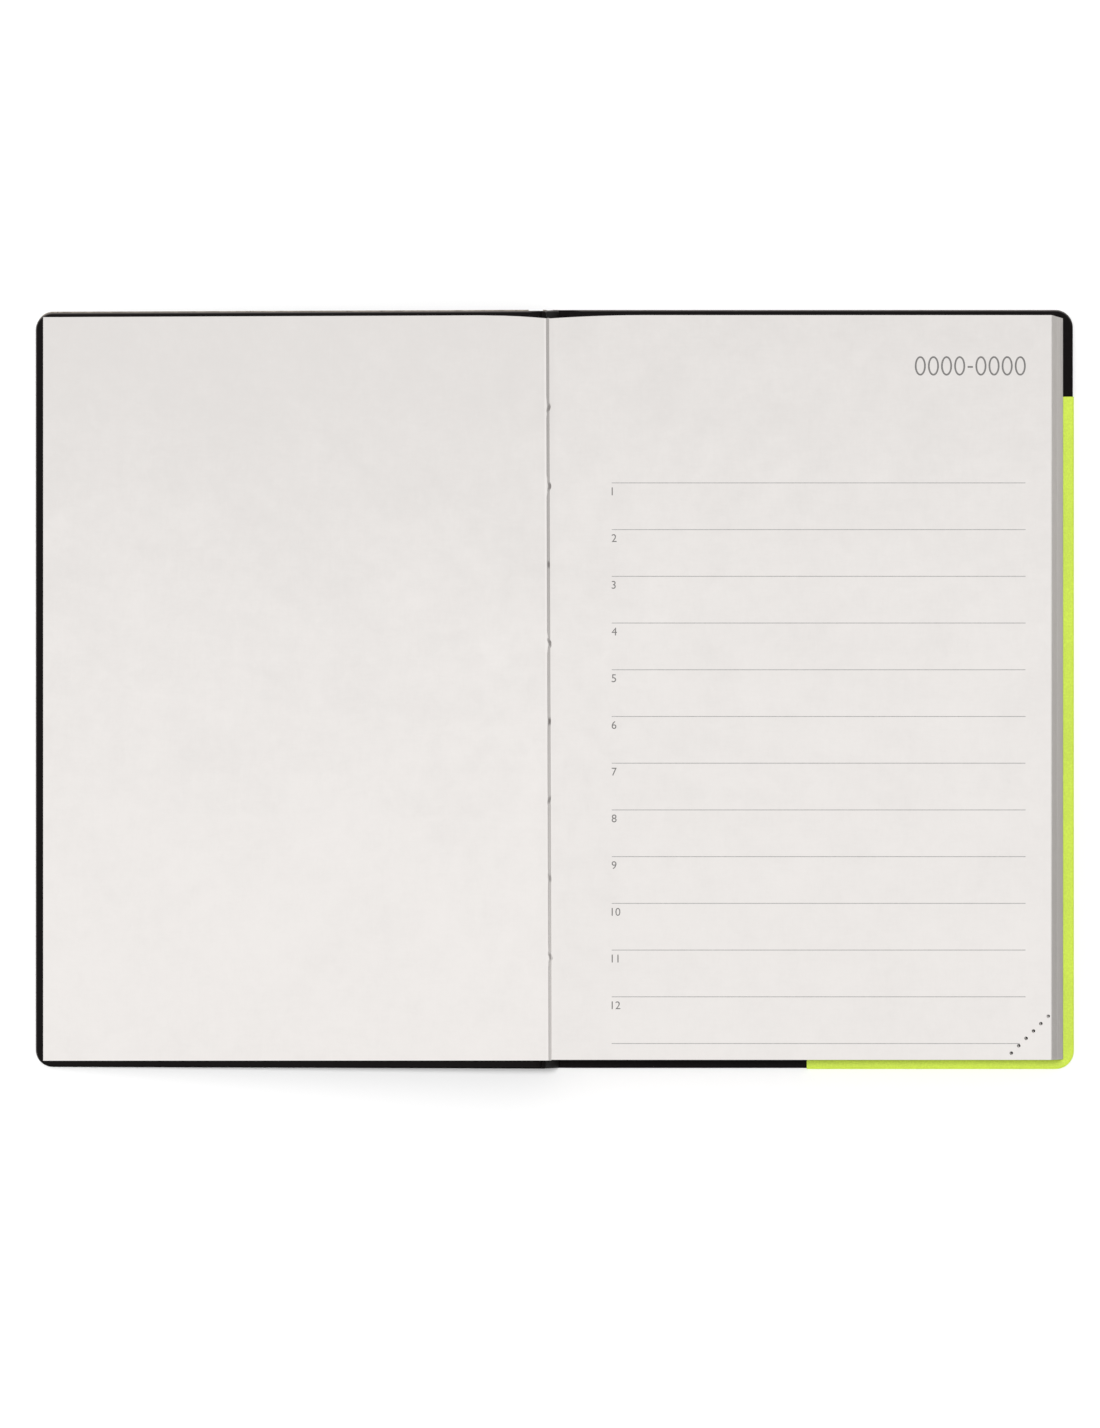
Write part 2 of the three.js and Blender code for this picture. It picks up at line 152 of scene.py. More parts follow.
class PaperSettings(bpy.types.PropertyGroup):
    page_colour: colour_setting("Page colour", "Ivory of the page faces", (0.697, 0.671, 0.652))
    # Partly painted shade: darker than the paper itself, for the shade on the block's leaning fore-edge
    cut_colour_and_shade: colour_setting("Cut edge colour", "Trimmed edges of the leaves", (0.502, 0.473, 0.438))
    leaf_fill: FloatProperty(
        name="Leaf fill", description="Share of each leaf's room that its paper fills",
        default=0.84, min=0.5, max=1)
    groove_depth: length_setting("Groove depth", "How deep the pages dip into the gutter", 0.45)
    groove_half: length_setting("Groove half width", "From the middle of the gutter to its walls", 0.32)
    gutter_shift: length_setting("Gutter shift", "Middle of the groove right of the fold line", 0.06)
    gutter_slant: FloatProperty(
        name="Gutter slant", description="Drift of the groove to the right, for each step to the tail",
        default=0.0034, precision=5)
    slant_reach: length_setting("Slant reach", "How far from the gutter a page follows its drift", 2.6)
    head_room: length_setting(
        "Head room", "How far the leaves reach past their plain height at the head", 0.45)
    fall_depth: length_setting("Fall depth", "How far the page falls beside the groove", 0.06)
    fall_reach: length_setting("Fall reach", "Where the page beside the groove starts to fall", 1.6)
    hole_depth: length_setting(
        "Sewing hole depth", "How much deeper the groove is at a sewing hole", 0.08)
    nick_shift: length_setting("Nick shift", "Sideways pull of the gutter at each sewing station", 0.3)
    nick_half_length: length_setting(
        "Nick half length", "Half the length of a nick along the gutter", 1.25)
    head_dip: length_setting("Head dip", "How far the head edge falls at the gutter", 0.84)
    dip_reach_left: length_setting("Left dip reach", "Width of the head dip on the lining paper", 17)
    dip_reach_right: length_setting("Right dip reach", "Width of the head dip on the leaves", 24)
    lining_head_room: length_setting(
        "Lining head room", "How far the lining reaches past its plain height at the head", 0.3)
    lining_tail_room: length_setting(
        "Lining tail room", "How far the lining widens at the tail of its fore-edge", 0.5)
    trim_scatter: length_setting(
        "Trim scatter", "How unevenly the leaves lie at their trimmed edges", 0.05)
    turn_reach: length_setting("Turn reach", "How far from the fold a turning leaf bends", 12)
    hole_pitch: length_setting("Hole pitch", "Pitch of the tear-off holes", 2.53)
    hole_start: length_setting(
        "Hole start", "First hole's distance from the tail along the tear line", 2.3)
    hole_radius: length_setting("Hole radius", "Radius of the tear-off holes", 0.43)
    hole_slip: length_setting(
        "Hole slip", "How unevenly the signatures' holes lie over each other", 0.33)


class PrintSettings(bpy.types.PropertyGroup):
    ink_colour: colour_setting("Ink colour", "Figures on the title page", (0.17, 0.165, 0.16))
    line_colour: colour_setting("Line colour", "Ruled lines on the title page", (0.33, 0.325, 0.32))
    line_count: IntProperty(
        name="Lines", description="Number of ruled lines", default=13, min=1)
    first_line: length_setting("First line", "First ruled line below the head", 40.2)
    line_pitch: length_setting("Line pitch", "Distance between ruled lines", 11.32)
    line_start: length_setting("Line start", "Start of the lines, from the gutter", 15.3)
    line_end: length_setting("Line end", "End of the lines, from the gutter", 115.6)
    line_width: length_setting("Line width", "Printed width of a ruled line", 0.18)
    numeral_height: length_setting("Numeral height", "Height of the running numbers", 1.9)
    numeral_drop: length_setting("Numeral drop", "Gap between a line and its number", 1.1)
    figures: StringProperty(
        name="Figures", description="Plain figures at the head of the page", default="0000-0000")
    figure_height: length_setting("Figure height", "Height of the large figures", 4.7)
    figure_right: length_setting(
        "Figure right", "Right end of the large figures, from the gutter", 115.9)
    figure_run: length_setting("Figure run", "Width of the row of large figures", 27.4)
    figure_drop: length_setting("Figure drop", "Top of the large figures below the head", 9.5)
    stroke: length_setting("Stroke", "Stroke of the large figures", 0.43)
    ink_rise: length_setting("Ink rise", "How far the ink stands above the paper", 0.012)


class CoverSettings(bpy.types.PropertyGroup):
    black_colour: colour_setting("Black skin", "Black leatherette", (0.0028, 0.002, 0.002))
    # Painted highlight: the paler colour of the black skin's rounded rim where the light falls on it
    rim_highlight_colour: colour_setting(
        "Worn black", "Black leatherette where hands have rubbed its rim", (0.15, 0.135, 0.13))
    lime_colour: colour_setting("Lime skin", "Lime leatherette", (0.63, 0.82, 0.065))
    edge_radius: length_setting("Edge radius", "Rounding of the cover's edges", 0.45)
    corner_radius: length_setting("Corner radius", "Rounding of the cover's corners", 4.2)
    turn_in: length_setting("Turn-in", "How far the skin is turned in over the board", 12)
    groove_lift: length_setting("Joint groove", "Depth of the groove beside the spine", 0.4)
    front_narrowing: FloatProperty(
        name="Front narrowing", description="How much less tall the front skin is than its plain size",
        default=0.0028, precision=5)
    front_drop: length_setting("Front drop", "How far the front cover lies towards the tail", 0.31)
    back_spread: FloatProperty(
        name="Back spread", description="How much taller the back skin is than its plain size",
        default=0.0025, precision=5)
    back_drop: length_setting("Back drop", "How far the back cover lies towards the tail", 0.1)
    grain: length_setting("Grain", "Size of the leatherette grain", 0.38)


class SewingSettings(bpy.types.PropertyGroup):
    thread_colour: colour_setting("Thread colour", "Sewing thread", (0.86, 0.84, 0.8))


class StageSettings(bpy.types.PropertyGroup):
    floor_colour: colour_setting("Floor colour", "Pale table top", (0.985, 0.985, 0.985))
    camera_height: FloatProperty(
        name="Camera height", description="Camera above the title page",
        default=3.4, unit="LENGTH")
    view_height: FloatProperty(
        name="View height", description="Height of the picture in the title page's plane",
        default=0.346, unit="LENGTH")
    view_right: length_setting("View right", "Middle of the picture right of the gutter", 0.36)
    view_up: length_setting("View up", "Middle of the picture towards the head", -6.2)
    dome_light: FloatProperty(
        name="Dome light", description="Light from all round", default=0.6, min=0)
    dome_slant: FloatProperty(
        name="Dome slant", description="How much brighter the dome is at the upper left of the picture",
        default=0.8, min=0, max=1)
    key_light: FloatProperty(
        name="Key light", description="Soft light from the head's left", default=1.87, min=0)


# Shader maths

class Wire:
    """One socket of a shader. Sums, differences and products of wires add their Math nodes."""

    def __init__(self, tree, socket):
        self.tree = tree
        self.socket = socket

    def node(self, kind, settings=None, sockets=None, output=0):
        """Adds a node of a kind: its settings first, then the values or wires of its sockets."""
        made = self.tree.nodes.new(kind)
        for name, value in (settings or {}).items():
            setattr(made, name, value)
        for name, value in (sockets or {}).items():
            if isinstance(value, Wire):
                self.tree.links.new(value.socket, made.inputs[name])
            else:
                made.inputs[name].default_value = value
        return Wire(self.tree, made.outputs[output] if made.outputs else None)

    def maths(self, operation, first, second):
        return self.node("ShaderNodeMath", {"operation": operation}, {0: first, 1: second})

    def __add__(self, other):
        return self.maths("ADD", self, other)

    def __radd__(self, other):
        return self.maths("ADD", other, self)

    def __sub__(self, other):
        return self.maths("SUBTRACT", self, other)

    def __rsub__(self, other):
        return self.maths("SUBTRACT", other, self)

    def __mul__(self, other):
        return self.maths("MULTIPLY", self, other)

    def __rmul__(self, other):
        return self.maths("MULTIPLY", other, self)

    def noise(self, scale, detail=2.0, roughness=0.5, distortion=0.0):
        """Noise at this place, from 0 to 1."""
        sizes = {"Vector": self, "Scale": scale, "Detail": detail, "Roughness": roughness,
                 "Distortion": distortion}
        return self.node("ShaderNodeTexNoise", {"noise_dimensions": "3D"}, sizes)

    def cells(self, scale, feature="F1"):
        """Distance to the nearest point, or to the edge between two cells, of a scattered grid."""
        return self.node("ShaderNodeTexVoronoi", {"feature": feature}, {"Vector": self, "Scale": scale})

    def bands(self, direction, sizes):
        """Soft stripes across a direction, from 0 to 1."""
        return self.node("ShaderNodeTexWave", {"bands_direction": direction}, sizes, "Fac")

    def stretched(self, along_x, along_y, along_z):
        """This place, scaled by a factor along each axis."""
        scale = (along_x, along_y, along_z)
        return self.node("ShaderNodeVectorMath", {"operation": "MULTIPLY"}, {0: self, 1: scale})

    def moved(self, shift):
        """This place, moved by a vector."""
        return self.node("ShaderNodeVectorMath", {"operation": "ADD"}, {0: self, 1: shift})

    def axis(self, index):
        return self.node("ShaderNodeSeparateXYZ", {}, {0: self}, index)

    def between(self, low, high):
        """0 below low, 1 above high and smooth in between."""
        sizes = {"Value": self, "From Min": low, "From Max": high}
        return self.node("ShaderNodeMapRange", {"interpolation_type": "SMOOTHSTEP"}, sizes)

    def blend_colours(self, first, second):
        """The first colour where this wire is 0, and the second where it is 1."""
        return self.node("ShaderNodeMix", {"data_type": "RGBA"}, {0: self, 6: first, 7: second}, 2)


def new_material(name):
    """A material, and the place on the object's surface that its patterns start from."""
    material = bpy.data.materials.new(name)
    material.use_nodes = True
    tree = material.node_tree
    tree.nodes.clear()
    place = Wire(tree, None).node("ShaderNodeTexCoord", {}, {}, "Object")
    return material, place


def finish_surface(place, colour, roughness, relief, relief_height, **constants):
    """Joins the patterns into one surface, with relief as a height from 0 to 1."""
    bump = place.node(
        "ShaderNodeBump", {}, {"Height": relief, "Distance": relief_height, "Strength": 1.0})
    sockets = {"Base Color": colour, "Roughness": roughness, "Normal": bump}
    sockets.update({name.replace("_", " "): value for name, value in constants.items()})
    surface = place.node("ShaderNodeBsdfPrincipled", {}, sockets)
    place.node("ShaderNodeOutputMaterial", {}, {"Surface": surface})


def scaled(colour, factor):
    """A colour, lighter or darker by a factor."""
    return tuple(min(1.0, channel * factor) for channel in colour[:3]) + (1.0,)


finishes = {}


def finish(name):
    """The material of this name, made the first time that a piece asks for it."""
    if name not in finishes:
        finishes[name] = MAKERS[name]()
    return finishes[name]


def fold_distance(place):
    """How far right of the slanting gutter fold a place lies."""
    paper = bpy.context.scene.planner_paper
    return place.axis(0) + place.axis(1) * paper.gutter_slant - (GUTTER.x + paper.gutter_shift)


def make_crease_shade_paper():
    """Gutter fold paper, grey with painted shade: darker towards the head, darkest in the sewing holes."""
    material, place = new_material("crease_shade_paper")
    towards_head = place.axis(1).between(-0.075, 0.08)
    fibres = place.stretched(1, 0.3, 1).noise(1600, 3, 0.6, 0.5)
    span = STATIONS[0] - STATIONS[-1]
    pitch = span / (len(STATIONS) - 1)
    along = place.axis(1) - STATIONS[-1]
    from_station = along.maths("PINGPONG", along, pitch / 2)
    off_middle = place.axis(1) - (STATIONS[0] + STATIONS[-1]) / 2
    from_middle = off_middle.maths("ABSOLUTE", off_middle, 0.0)
    beyond = from_middle.between(span / 2 + 1.2 * MM, span / 2 + 1.6 * MM)
    strength = place.stretched(0, 1, 0).noise(60, 1).between(0.3, 0.7) * 0.45 + 0.4
    # Painted shade in each sewing hole, patchy along the gutter
    hole = (1 - from_station.between(0.3 * MM, 1.2 * MM)) * (1 - beyond) * strength
    # Painted shade of the groove's floor, darker at the head than at the tail
    tail_shade_grey = (0.50, 0.48, 0.465, 1)
    head_shade_grey = (0.375, 0.36, 0.35, 1)
    fibre_grey = (0.3, 0.29, 0.28, 1)
    hole_shade_grey = (0.13, 0.12, 0.115, 1)
    tone = towards_head.blend_colours(tail_shade_grey, head_shade_grey)
    tone = (fibres * 0.25).blend_colours(tone, fibre_grey)
    colour = hole.blend_colours(tone, hole_shade_grey)
    roughness = fibres * 0.1 + 0.85
    finish_surface(place, colour, roughness, fibres, 0.03 * MM, Specular_IOR_Level=0.15)
    return material


def trim_distance(place):
    """How far inside the block's leaning, trimmed fore-edge a place lies."""
    return (title_high.x - place.axis(0)) + (title_high.z - place.axis(2)) * LEAN_FORE


def page_stock(name, page):
    """Uncoated ivory paper: cloudy formation, pressed fibres, a faint tooth, painted shade towards the
    head, beside the groove and at the trimmed fore-edge, and a painted highlight on the groove's left
    ridge."""
    material, place = new_material(name)
    clouds = place.noise(55, 3, 0.6)
    blotches = place.noise(230, 4, 0.65, 0.4)
    fibres = place.stretched(1, 0.22, 1).noise(1500, 3, 0.6, 0.8)
    crossing = place.stretched(0.2, 1, 1).noise(1300, 3, 0.6, 0.8)
    height = place.axis(1)
    # Painted shade, darker towards the head
    head_shade = height.between(0.005, 0.115) * 0.27 + height.between(-0.075, 0.035) * 0.08
    from_fold = fold_distance(place)
    # Painted shadow of the lining's edge on the page right of the groove, more towards the head
    fold_shade = (1 - from_fold.between(0.3 * MM, 2.2 * MM)) * height.between(-0.06, 0.08) * 0.16
    # Painted highlight on the lining's ridge left of the groove
    crest_highlight = from_fold.between(-0.95 * MM, -0.65 * MM) * (1 - from_fold.between(-0.45 * MM, -0.3 * MM))
    tone = clouds * 0.35 + blotches * 0.35 + (fibres + crossing) * 0.15 + head_shade + fold_shade
    tone = tone - crest_highlight * 0.4
    colour = tone.between(0.3, 1.1).blend_colours(scaled(page, 1.035), scaled(page, 0.9))
    flecks = fibres.between(0.68, 0.78) * crossing.between(0.55, 0.7)
    colour = (flecks * 0.5).blend_colours(colour, scaled(page, 1.07))
    # Painted shade of the leaning fore-edge, on the leaves' faces close to their trimmed edge, less dark
    # towards the head
    trimmed = height.between(-0.085, 0.09).blend_colours(scaled(page, 0.81), scaled(page, 0.9))
    colour = trim_distance(place).between(0.08 * MM, 0.3 * MM).blend_colours(trimmed, colour)
    roughness = blotches * 0.12 + 0.82
    relief = (fibres + crossing) * 0.35 + blotches * 0.3
    finish_surface(place, colour, roughness, relief, 0.035 * MM, Specular_IOR_Level=0.25)
    return material


def make_page_paper():
    """The pages' stock, as it is."""
    return page_stock("page_paper", tuple(bpy.context.scene.planner_paper.page_colour))


def make_shaded_lining_paper():
    """The pages' stock, a little darker with painted shade against the extra light on the lining."""
    return page_stock("shaded_lining_paper", scaled(tuple(bpy.context.scene.planner_paper.page_colour), 0.99))


def make_cut_edge():
    """Trimmed paper edges: slightly rough, each leaf a little lighter or darker than the next."""
    material, place = new_material("cut_edge")
    # Partly painted shade: the cut colour is darker than the paper, for the shade on the leaning fore-edge
    cut = tuple(bpy.context.scene.planner_paper.cut_colour_and_shade)
    leaves = place.stretched(1, 1, 60).noise(170, 2, 0.5)
    nibbles = place.noise(2600, 3, 0.6)
    towards_head = place.axis(1).between(-0.085, 0.09)
    tone = leaves * 0.5 + nibbles * 0.2 + towards_head * 0.3
    colour = tone.between(0.25, 0.78).blend_colours(scaled(cut, 0.84), scaled(cut, 1.16))
    roughness = nibbles * 0.1 + 0.88
    finish_surface(place, colour, roughness, nibbles, 0.02 * MM, Specular_IOR_Level=0.15)
    return material


def leatherette(name, colour, high_colour, rim_highlight_colour, roughness_base, gloss):
    """Coated cover skin: pebbled cells, fine creases between them, a soft sheen, a painted rim highlight.
    """
    material, place = new_material(name)
    scale = 1 / bpy.context.scene.planner_cover.grain
    drift = 0.35 / scale
    shift = place.node("ShaderNodeTexNoise", {}, {"Vector": place, "Scale": scale * 0.4}, "Color")
    warped = place.moved(shift.stretched(drift, drift, drift))
    pebbles = warped.cells(scale, "SMOOTH_F1")
    creases = warped.cells(scale * 0.55, "DISTANCE_TO_EDGE").between(0.0, 0.12)
    pores = place.noise(scale * 3.2, 2, 0.6)
    cloud = place.noise(38, 3, 0.55)
    tint = pebbles * 0.35 + pores * 0.25 + cloud * 0.4
    base = tint.between(0.25, 0.75).blend_colours(scaled(colour, 0.86), high_colour)
    # Painted highlight on the rim that faces the light, patchy with the pores
    rim_highlight = place.node("ShaderNodeAttribute", {"attribute_name": "rim_highlight"}, {}, "Fac")
    base = (rim_highlight * (0.75 + pores * 0.5)).blend_colours(base, rim_highlight_colour)
    roughness = pores * 0.14 + cloud * 0.1 + roughness_base
    relief = (1 - pebbles) * 0.55 + creases * 0.3 + pores * 0.15
    finish_surface(place, base, roughness, relief, 0.045 * MM, Specular_IOR_Level=gloss)
    return material


def make_black_skin():
    """Matt black leatherette, with a painted highlight on its rim towards the head and the left."""
    colour = tuple(bpy.context.scene.planner_cover.black_colour)
    lit_rim = tuple(bpy.context.scene.planner_cover.rim_highlight_colour)
    return leatherette("black_leatherette", colour, scaled(colour, 1.7), lit_rim, 0.6, 0.09)


def make_lime_skin():
    """Satin lime leatherette, with a paler painted highlight on its rim at the right and the tail."""
    colour = tuple(bpy.context.scene.planner_cover.lime_colour)
    return leatherette("lime_leatherette", colour, scaled(colour, 1.08), scaled(colour, 1.2), 0.4, 0.3)


def make_grey_board():
    """Pressed board: grey pulp with darker and lighter specks and short fibres."""
    material, place = new_material("grey_board")
    pulp = place.noise(420, 4, 0.65)
    fibres = place.stretched(0.3, 1, 1).noise(1700, 3, 0.6, 1.0)
    specks = place.cells(900).between(0.1, 0.2)
    dark_pulp = (0.2, 0.175, 0.145, 1)
    pale_pulp = (0.34, 0.305, 0.26, 1)
    speck = (0.1, 0.085, 0.07, 1)
    colour = (1 - specks).blend_colours(pulp.between(0.3, 0.7).blend_colours(dark_pulp, pale_pulp), speck)
    roughness = pulp * 0.1 + 0.85
    finish_surface(place, colour, roughness, fibres * 0.6 + pulp * 0.4, 0.05 * MM,
                   Specular_IOR_Level=0.15)
    return material


def make_gauze():
    """Open cotton gauze pasted over the folds: warp and weft with glue in the gaps."""
    material, place = new_material("spine_gauze")
    thread_pitch = 0.9 * MM
    weave = {"Vector": place, "Scale": 0.5 / thread_pitch, "Distortion": 0.6, "Detail": 2.0}
    warp = place.bands("Y", weave)
    weft = place.bands("Z", weave)
    threads = warp.maths("MAXIMUM", warp, weft).between(0.45, 0.8)
    lint = place.noise(5200, 2, 0.6)
    glue_tone = (0.62, 0.58, 0.46, 1)
    cotton = (0.8, 0.78, 0.71, 1)
    dust = (0.55, 0.52, 0.45, 1)
    colour = (lint * 0.25).blend_colours(threads.blend_colours(glue_tone, cotton), dust)
    roughness = threads * 0.25 + 0.62
    finish_surface(place, colour, roughness, threads * 0.8 + lint * 0.2, 0.08 * MM,
                   Specular_IOR_Level=0.2)
    return material


def make_binding_glue():
    """Dried white glue, slightly yellow, brushed along the spine."""
    material, place = new_material("binding_glue")
    brush = place.stretched(1, 0.08, 1).noise(900, 3, 0.55, 0.5)
    pools = place.noise(260, 2, 0.5)
    thin_glue = (0.46, 0.41, 0.32, 1)
    thick_glue = (0.56, 0.52, 0.43, 1)
    colour = pools.between(0.35, 0.7).blend_colours(thin_glue, thick_glue)
    roughness = brush * 0.2 + 0.28
    finish_surface(place, colour, roughness, brush * 0.6 + pools * 0.4, 0.06 * MM)
    return material


def make_sewing_thread():
    """Twisted linen thread: slanting plies with fine lint."""
    material, place = new_material("sewing_thread")
    colour = tuple(bpy.context.scene.planner_sewing.thread_colour)
    plies = place.bands("DIAGONAL", {"Vector": place, "Scale": 2300.0, "Distortion": 0.5})
    lint = place.noise(9000, 2, 0.6)
    base = (plies * 0.7 + lint * 0.3).between(0.2, 0.7).blend_colours(scaled(colour, 0.7), colour)
    roughness = lint * 0.15 + 0.75
    finish_surface(place, base, roughness, plies, 0.03 * MM, Specular_IOR_Level=0.2)
    return material


def printed(name, colour):
    """Offset ink soaked into the paper's surface, a little uneven in its cover."""
    material, place = new_material(name)
    cover = place.noise(5200, 3, 0.6)
    tooth = place.noise(1900, 2, 0.6)
    base = (cover * 0.6 + tooth * 0.4).between(0.25, 0.8).blend_colours(
        scaled(colour, 0.85), scaled(colour, 1.35))
    roughness = tooth * 0.15 + 0.62
    finish_surface(place, base, roughness, tooth, 0.01 * MM, Specular_IOR_Level=0.25)
    return material


def make_figure_ink():
    """Dark grey ink of the figures and running numbers."""
    return printed("figure_ink", tuple(bpy.context.scene.planner_print.ink_colour))


def make_line_ink():
    """Paler grey ink of the ruled lines."""
    return printed("line_ink", tuple(bpy.context.scene.planner_print.line_colour))


def make_table_top():
    """Pale matt laminate under the planner."""
    material, place = new_material("table_top")
    colour = tuple(bpy.context.scene.planner_stage.floor_colour)
    cloud = place.noise(3, 2, 0.5)
    speck = place.noise(700, 2, 0.5)
    base = cloud.between(0.3, 0.7).blend_colours(scaled(colour, 0.995), colour)
    roughness = speck * 0.05 + 0.9
    finish_surface(place, base, roughness, speck, 0.005 * MM, Specular_IOR_Level=0.0)
    return material


MAKERS = {
    "page_paper": make_page_paper,
    "shaded_lining_paper": make_shaded_lining_paper,
    "crease_shade_paper": make_crease_shade_paper,
    "cut_edge": make_cut_edge,
    "black_skin": make_black_skin,
    "lime_skin": make_lime_skin,
    "grey_board": make_grey_board,
    "gauze": make_gauze,
    "binding_glue": make_binding_glue,
    "sewing_thread": make_sewing_thread,
    "figure_ink": make_figure_ink,
    "line_ink": make_line_ink,
    "table_top": make_table_top,
}


def finish_node(node, name):
    """Gives a solid that stays in view its material."""
    slots = frame["nodes"][node].data.materials
    slots.clear()
    slots.append(finish(name))


# Thin sheets

class Sheet:
    """Corners and polygons of one thin solid. Each corner has its place on both faces."""

    def __init__(self):
        self.corners = []
        self.polygons = []

    def corner(self, outer, inner, rim_highlight=0.0):
        """Adds a corner, with its painted rim highlight outside from 0 to 1, and returns its number."""
        self.corners.append((outer, inner, rim_highlight))
        return len(self.corners) - 1

    def row(self, pairs):
        """Adds a row of corners and returns their numbers."""
        return [self.corner(*pair) for pair in pairs]

    def face(self, corners, finish_index=0):
        """Adds a polygon, with the number of its finish."""
        self.polygons.append((tuple(corners), finish_index))

    def strip(self, first, second):
        """Quads between two rows of corners."""
        for index in range(len(first) - 1):
            self.face((first[index], first[index + 1], second[index + 1], second[index]))

    def grid(self, rows):
        """Quads between each row of corners and the next."""
        for first, second in zip(rows, rows[1:]):
            self.strip(first, second)

    def add_to(self, shape):
        """Makes both faces, and along every open edge a wall of the second finish."""
        # Each outer corner keeps its share of the painted rim highlight in a layer
        rim_highlight_layer = shape.verts.layers.float.get("rim_highlight") or shape.verts.layers.float.new("rim_highlight")
        outer = [shape.verts.new(corner[0]) for corner in self.corners]
        inner = [shape.verts.new(corner[1]) for corner in self.corners]
        for vertex, corner in zip(outer, self.corners):
            vertex[rim_highlight_layer] = corner[2]
        directed = set()
        for polygon, finish_index in self.polygons:
            shape.faces.new([outer[index] for index in polygon]).material_index = finish_index
            shape.faces.new([inner[index] for index in reversed(polygon)]).material_index = finish_index
            directed.update(zip(polygon, polygon[1:] + polygon[:1]))
        for start, end in sorted(directed):
            if (end, start) not in directed:
                wall = shape.faces.new((outer[end], outer[start], inner[start], inner[end]))
                wall.material_index = 1


def object_of(name, sheets, finish_names, sharp_degrees=40):
    """One object made of several sheets. Its finishes are for faces, for edges, and for marked faces."""
    shape = bmesh.new()
    for sheet in sheets:
        sheet.add_to(shape)
    bmesh.ops.remove_doubles(shape, verts=shape.verts, dist=1e-8)
    bmesh.ops.recalc_face_normals(shape, faces=shape.faces)
    return object_from(name, shape, finish_names, sharp_degrees)


def object_from(name, shape, finish_names, sharp_degrees):
    """Makes an object of a bmesh. Its triangles and quads are shaded smooth, and its larger faces flat."""
    mesh = bpy.data.meshes.new(name)
    shape.to_mesh(mesh)
    shape.free()
    for finish_name in finish_names:
        mesh.materials.append(finish(finish_name))
    mesh.shade_smooth()
    mesh.set_sharp_from_angle(angle=math.radians(sharp_degrees))
    for polygon in mesh.polygons:
        polygon.use_smooth = len(polygon.vertices) <= 4
    made = bpy.data.objects.new(name, mesh)
    bpy.context.scene.collection.objects.link(made)
    return made


def smooth_step(share):
    """0 up to share 0, 1 from share 1 on, and smooth in between."""
    held = min(1.0, max(0.0, share))
    return held * held * (3 - 2 * held)


# Leaves of the block

LEAVES_IN_SIGNATURE = 16
OUTER_FOLD_RADIUS = 0.4 * MM
# How far the first signature's folds stand right of the others, clear of the groove
GROOVE_CLEARANCE = 0.35 * MM


def block_point(across, along, depth):
    """A place in the leaning block: across from the gutter, towards the head, and below the page."""
    return Vector((GUTTER.x + across + depth * LEAN_FORE, along - depth * LEAN_TAIL, PAGE_TOP - depth))


def head_dip(paper, across, reach):
    """How far the head edge falls this close to the gutter."""
    return paper.head_dip * max(0.0, 1 - across / reach) ** 2


def tear_line(paper, side, steps, slip=0.0):
    """The tear-off line from the tail to the fore-edge, with half-holes on one side of it.
    Side is 1 for the leaf's side and -1 for the corner's, and slip moves the holes along."""
    diagonal = math.sqrt(0.5)
    length = CORNER_LEG / diagonal
    count = int((length - paper.hole_start - paper.hole_pitch * 0.4) / paper.hole_pitch) + 1
    points = [(PAGE_WIDTH - CORNER_LEG, -HALF_PAGE)]
    for hole in range(count):
        along = (paper.hole_start + slip + hole * paper.hole_pitch) * diagonal
        for step in range(steps + 1):
            angle = math.radians(225 - side * 180 * step / steps)
            points.append((
                PAGE_WIDTH - CORNER_LEG + along + paper.hole_radius * math.cos(angle),
                along - HALF_PAGE + paper.hole_radius * math.sin(angle),
            ))
    points.append((PAGE_WIDTH, CORNER_LEG - HALF_PAGE))
    return points


def leaf_far_end(sheet, paper, tail, head, depth, thickness, trim, slip, forwards):
    """The wide flat part of a leaf, beyond two corners that its bending part ends with.
    Its tear-off corner is a sheet of its own, and is returned."""
    steps = 6
    trim_reach = 3 * MM

    def pair(across, along):
        top = block_point(across, along, depth - thickness / 2)
        bottom = block_point(across, along, depth + thickness / 2)
        return (top, bottom) if forwards else (bottom, top)

    def line_with_trim(side):
        return [(min(x, PAGE_WIDTH) + trim * smooth_step((x - PAGE_WIDTH + trim_reach) / trim_reach), y)
                for x, y in tear_line(paper, side, steps, slip)]

    outline = [sheet.corner(*pair(x, y)) for x, y in line_with_trim(1)]
    outline.append(sheet.corner(*pair(PAGE_WIDTH + trim, HALF_PAGE + paper.head_room)))
    if forwards:
        sheet.face([tail, head] + outline[::-1])
    else:
        sheet.face([head, tail] + outline)
    corner = Sheet()
    torn = line_with_trim(-1) + [(PAGE_WIDTH + trim, -HALF_PAGE)]
    corner.face(corner.corner(*pair(x, y)) for x, y in torn)
    return corner


def bent_columns(turning):
    """Distances from the gutter, in millimetres, at which a leaf can bend, from its flat part to its
    fold. A leaf that turns has more of them."""
    if turning:
        return [24, 22.4, 20.8, 19.2, 17.6, 16, 14.4, 13, 11.7, 10.5, 9.4, 8.3, 7.3, 6.3, 5.4, 4.5, 3.7, 3,
                2.3, 1.7, 1.2, 0.8]
    return [24, 16, 9, 4, 1.5]


